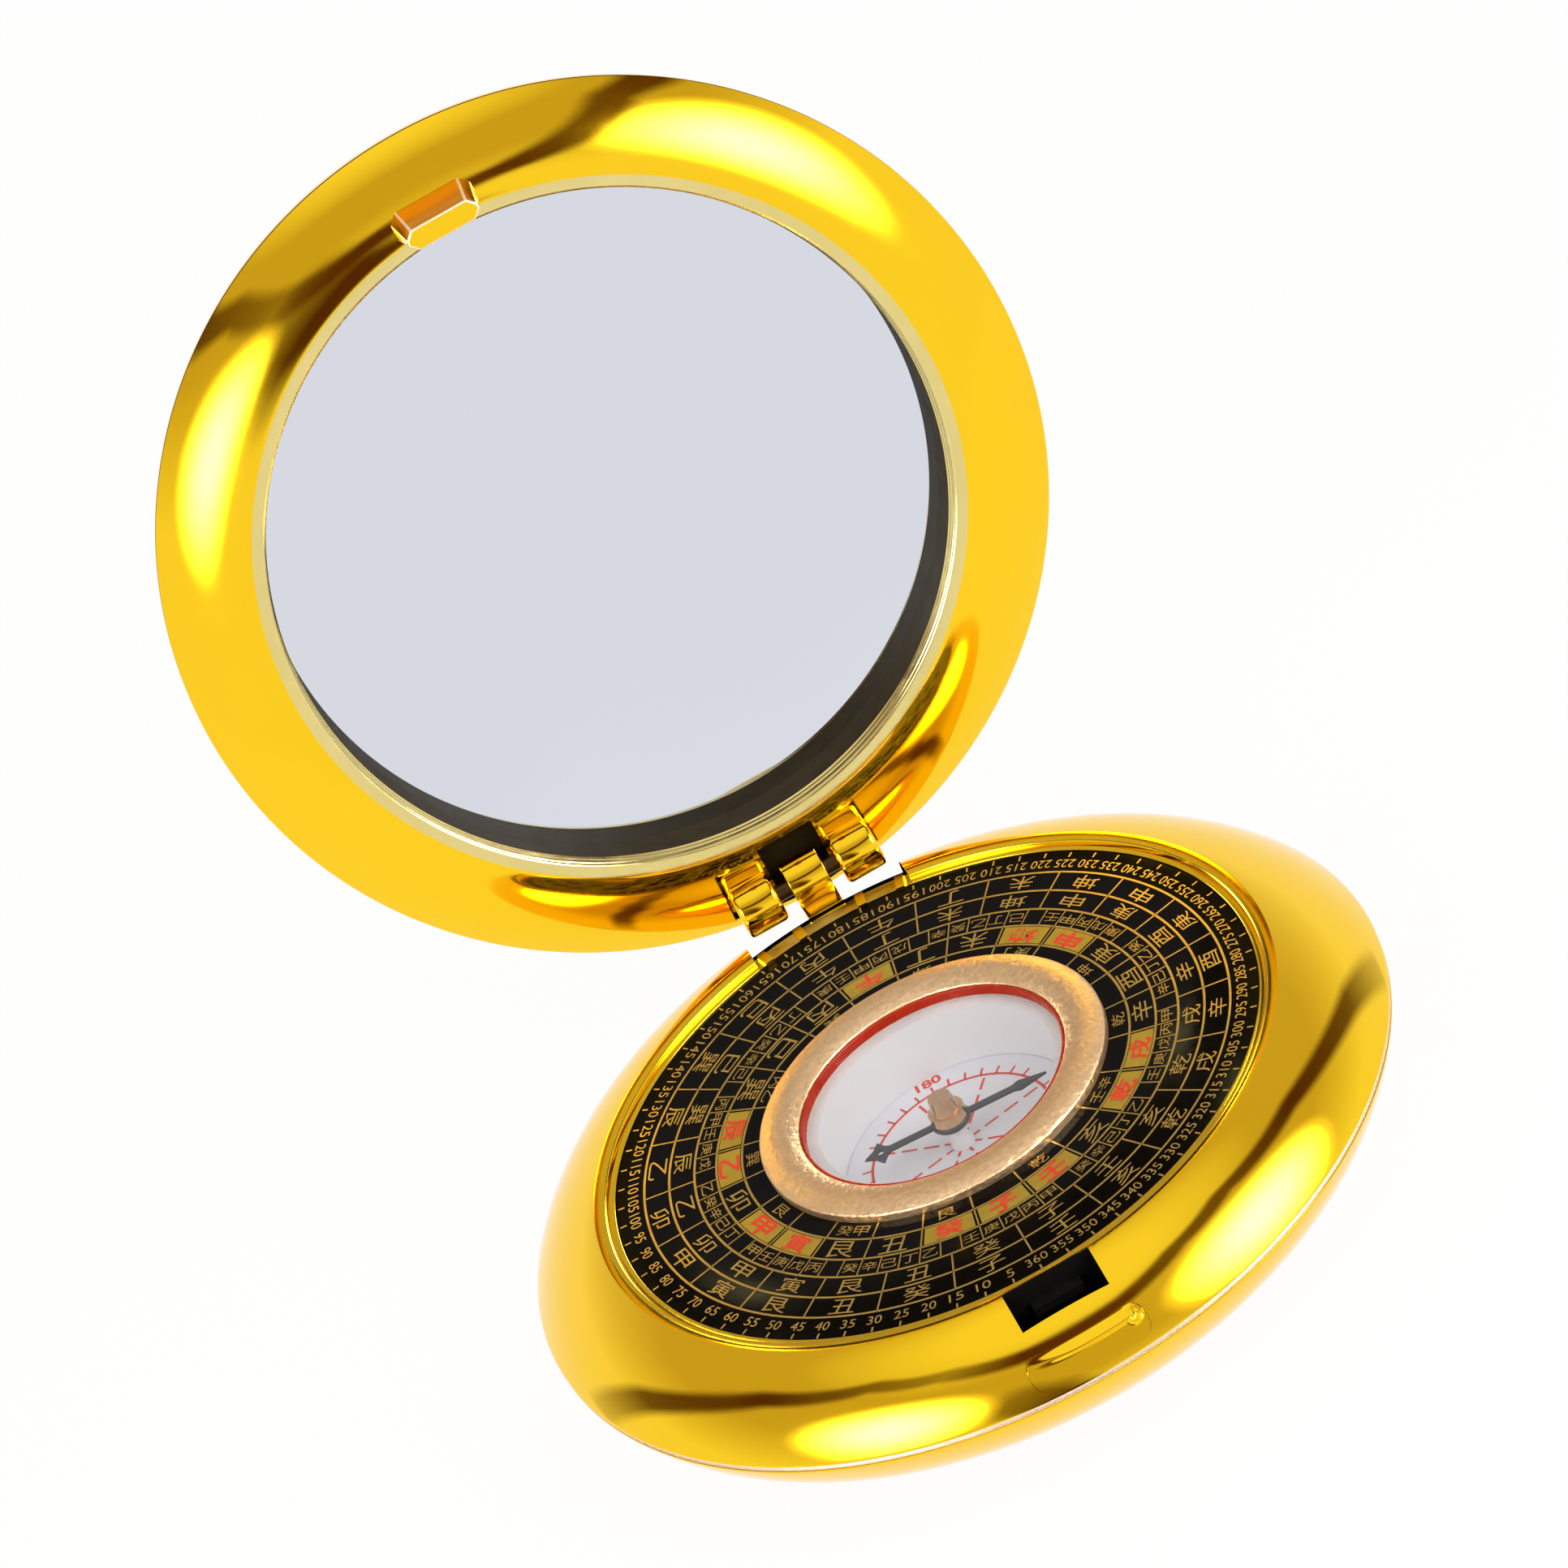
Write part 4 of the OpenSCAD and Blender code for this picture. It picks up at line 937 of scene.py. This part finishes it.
# Needle. A black steel blade between a turned brass cap and a black washer. A red jewel in the cap
# rides on a steel pin, and the pin stands in a white post in the middle of the bowl.
needle_paint = worn("needle_paint", 1, (0.010, 0.011, 0.013), (0.022, 0.024, 0.027), 0.6, 0.2, 0.3, {})
bright_steel = worn("bright_steel", 2, (0.55, 0.55, 0.56), (0.65, 0.65, 0.66), 0.5, 0.1, 0.2,
                    {"Metallic": 1})
jewel_red = worn("jewel_red", 0.5, (0.45, 0.01, 0.05), (0.6, 0.03, 0.08), 0.5, 0.05, 0.05, {})
turned_brass, tree, shader = new_finish("turned_brass", {"Metallic": 1})
tint(tree, cloud(tree, 1), (0.62, 0.38, 0.20), (0.88, 0.60, 0.36), shader.inputs["Base Color"])
(cloud(tree, 0.3, 2, 0.5, (1, 1, 12)) * 0.08 + 0.1).into(shader.inputs["Roughness"])
relief(tree, cloud(tree, 0.6, 2, 0.5, (1, 1, 10)), 0.002, shader)
wear("pivot_post", white_gloss)
wear("pivot_pin", bright_steel)
wear("needle_washer", needle_paint)
wear("needle_blade", needle_paint)
wear("needle_cap", turned_brass)
wear("cap_jewel", jewel_red)


# Release button and lug. Both are gold plated plastic. The button is a bar that follows the dome,
# with a bead along its upper edge and a thumb bump at one end. The lug has broken corners. Its
# sides are a deeper orange gold as painted reflection, and its broken edges pale as painted highlights.
button_half = 5.2
button_low = SEAM + 0.85
button_high = SEAM + 3
button_middle = (button_low + button_high) / 2
round_end = 0.95
button_across = 140
button_up = 60
bead_z = button_high - 0.45
bead_high = 0.45
bead_soft = 0.24
bead_start = -2.5
bead_run = 1.5
bump_x = 4.2
bump_z = button_high - 0.55
bump_high = 0.65
bump_wide = 0.42
bump_tall = 0.4
fade_up = 5
fade_across = 4
fine_dome = list(reversed(bend((rim, SEAM + groove_half), (lip, lip_top), dome_sag, 600)))
dome_heights = [-z for r, z in fine_dome]
dome_radii = [r for r, z in fine_dome]
points = []
for i in range(button_across + 1):
    x = -button_half + 2 * button_half * i / button_across
    over = max(0, abs(x) - (button_half - round_end)) / round_end
    half = (button_high - button_low) / 2 * math.sqrt(max(0, 1 - over * over))
    for j in range(button_up + 1):
        share = 2 * j / button_up - 1
        z = button_middle + half * share
        bead = bead_high * math.exp(-((z - bead_z) / bead_soft) ** 2)
        bead *= 0.5 + 0.5 * math.tanh((x - bead_start) / bead_run)
        bump = bump_high * math.exp(-((x - bump_x) / bump_wide) ** 2 - ((z - bump_z) / bump_tall) ** 2)
        edge = min(1, (1 - abs(share)) * fade_up, (button_half - abs(x)) * fade_across)
        r = np.interp(-z, dome_heights, dome_radii) + 0.01 + edge * max(bead, bump)
        points.append((x, -math.sqrt(r ** 2 - x * x), z))
faces = []
for i in range(button_across):
    for j in range(button_up):
        n = i * (button_up + 1) + j
        faces.append((n, n + button_up + 1, n + button_up + 2, n + 1))
button = mesh_object("thumb_button", points, faces, gold_plate)
button_deep = 1.5
work = bmesh.new()
work.from_mesh(button.data)
bmesh.ops.remove_doubles(work, verts=work.verts, dist=1e-7)
rims = [e for e in work.edges if e.is_boundary]
grown = bmesh.ops.extrude_edge_only(work, edges=rims)["geom"]
bmesh.ops.translate(work, verts=[v for v in grown if isinstance(v, bmesh.types.BMVert)],
                    vec=(0, button_deep * MM, 0))
bmesh.ops.holes_fill(work, edges=[e for e in work.edges if e.is_boundary], sides=0)
bmesh.ops.recalc_face_normals(work, faces=work.faces)
work.to_mesh(button.data)
work.free()
smooth(button)
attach(button, "button")
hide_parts("release_button")

# Painted reflection: a deeper orange copy of the gold plating for the lug's sides.
lug_reflected_orange = worn("lug_reflected_orange", 3, (0.72, 0.26, 0.004), (0.86, 0.36, 0.01), 2, 0.1, 0.16, {"Metallic": 1})
LUG_END, LUG_SIDE_REFLECTION, LUG_EDGE_HIGHLIGHT = range(3)


def eight(half, inner, outer, cut):
    """The eight corners of an oblong with cut corners, from its inner side round to its outer side."""
    return [(-half, inner - cut), (-half + cut, inner), (half - cut, inner), (half, inner - cut),
            (half, outer + cut), (half - cut, outer), (-half + cut, outer), (-half, outer + cut)]


root = eight(3.7, -29.55, -32.5, 0.8)
tip = eight(3.25, -30, -31.85, 0.7)
lug_long = 4.6
points = []
for z, outline in ((lid_lip + 1.5, root), (lid_lip, root), (lid_lip - lug_long, tip)):
    points += [(x, y, z) for x, y in outline]
faces = [tuple(range(8)), tuple(range(16, 24))]
for first in (0, 8):
    faces += [(first + i, first + (i + 1) % 8, first + 8 + (i + 1) % 8, first + 8 + i) for i in range(8)]
lug = mesh_object("lug", points, faces, gold_plate, lug_reflected_orange, pale_highlight)
# The tip's end face keeps the plain gold, the other faces take the orange painted reflection.
for face in lug.data.polygons:
    face.material_index = LUG_END if face.index == 1 else LUG_SIDE_REFLECTION
catch_low = lid_lip - 3.55
catch_high = lid_lip - 2.1
carve(lug, block("catch", (-4, 4), (-31, -29), (catch_low, catch_high), [gold_plate]))
work = bmesh.new()
work.from_mesh(lug.data)
bmesh.ops.recalc_face_normals(work, faces=work.faces)
# The broken edges take the pale painted highlight.
broken = 0.13
edges = [e for e in work.edges if len(e.link_faces) == 2 and e.calc_face_angle(0) > 0.3]
bmesh.ops.bevel(work, geom=edges, offset=broken * MM, segments=2, profile=0.5, affect="EDGES",
                clamp_overlap=True, material=LUG_EDGE_HIGHLIGHT)
work.to_mesh(lug.data)
work.free()
lug.data.transform(swing)
smooth(lug, 20)
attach(lug, "lid")
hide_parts("latch_lug")


# Latch. A black plastic slider behind the button, with the nose that holds the lug. A folded strip
# of spring steel holds it forward, and both are hidden under the bezel.
wear("latch_slider", bare_black)
wear("latch_spring", bright_steel)


# Mirror. Round silvered glass in the deep well of the lid frame. A soft dark pad behind it sticks
# to the glass and takes up the play.
mirror_silver = worn("mirror_silver", 25, (0.67, 0.69, 0.75), (0.70, 0.72, 0.78), 6, 0.02, 0.01,
                     {"Metallic": 1})
soft_foam = worn("soft_foam", 0.6, (0.03, 0.03, 0.032), (0.06, 0.06, 0.065), 0.4, 0.1, 0.85, {})
wear("mirror_glass", mirror_silver)
wear("mirror_pad", soft_foam)


# Hinge pin. A thin darkened steel pin through the middle leaf of the bezel and the two outer
# leaves of the lid. It is pressed into the lid's leaves, and the middle leaf turns on it.
dark_steel = worn("dark_steel", 2, (0.06, 0.035, 0.015), (0.10, 0.06, 0.03), 0.5, 0.1, 0.25, {"Metallic": 1})
wear("hinge_pin", dark_steel)
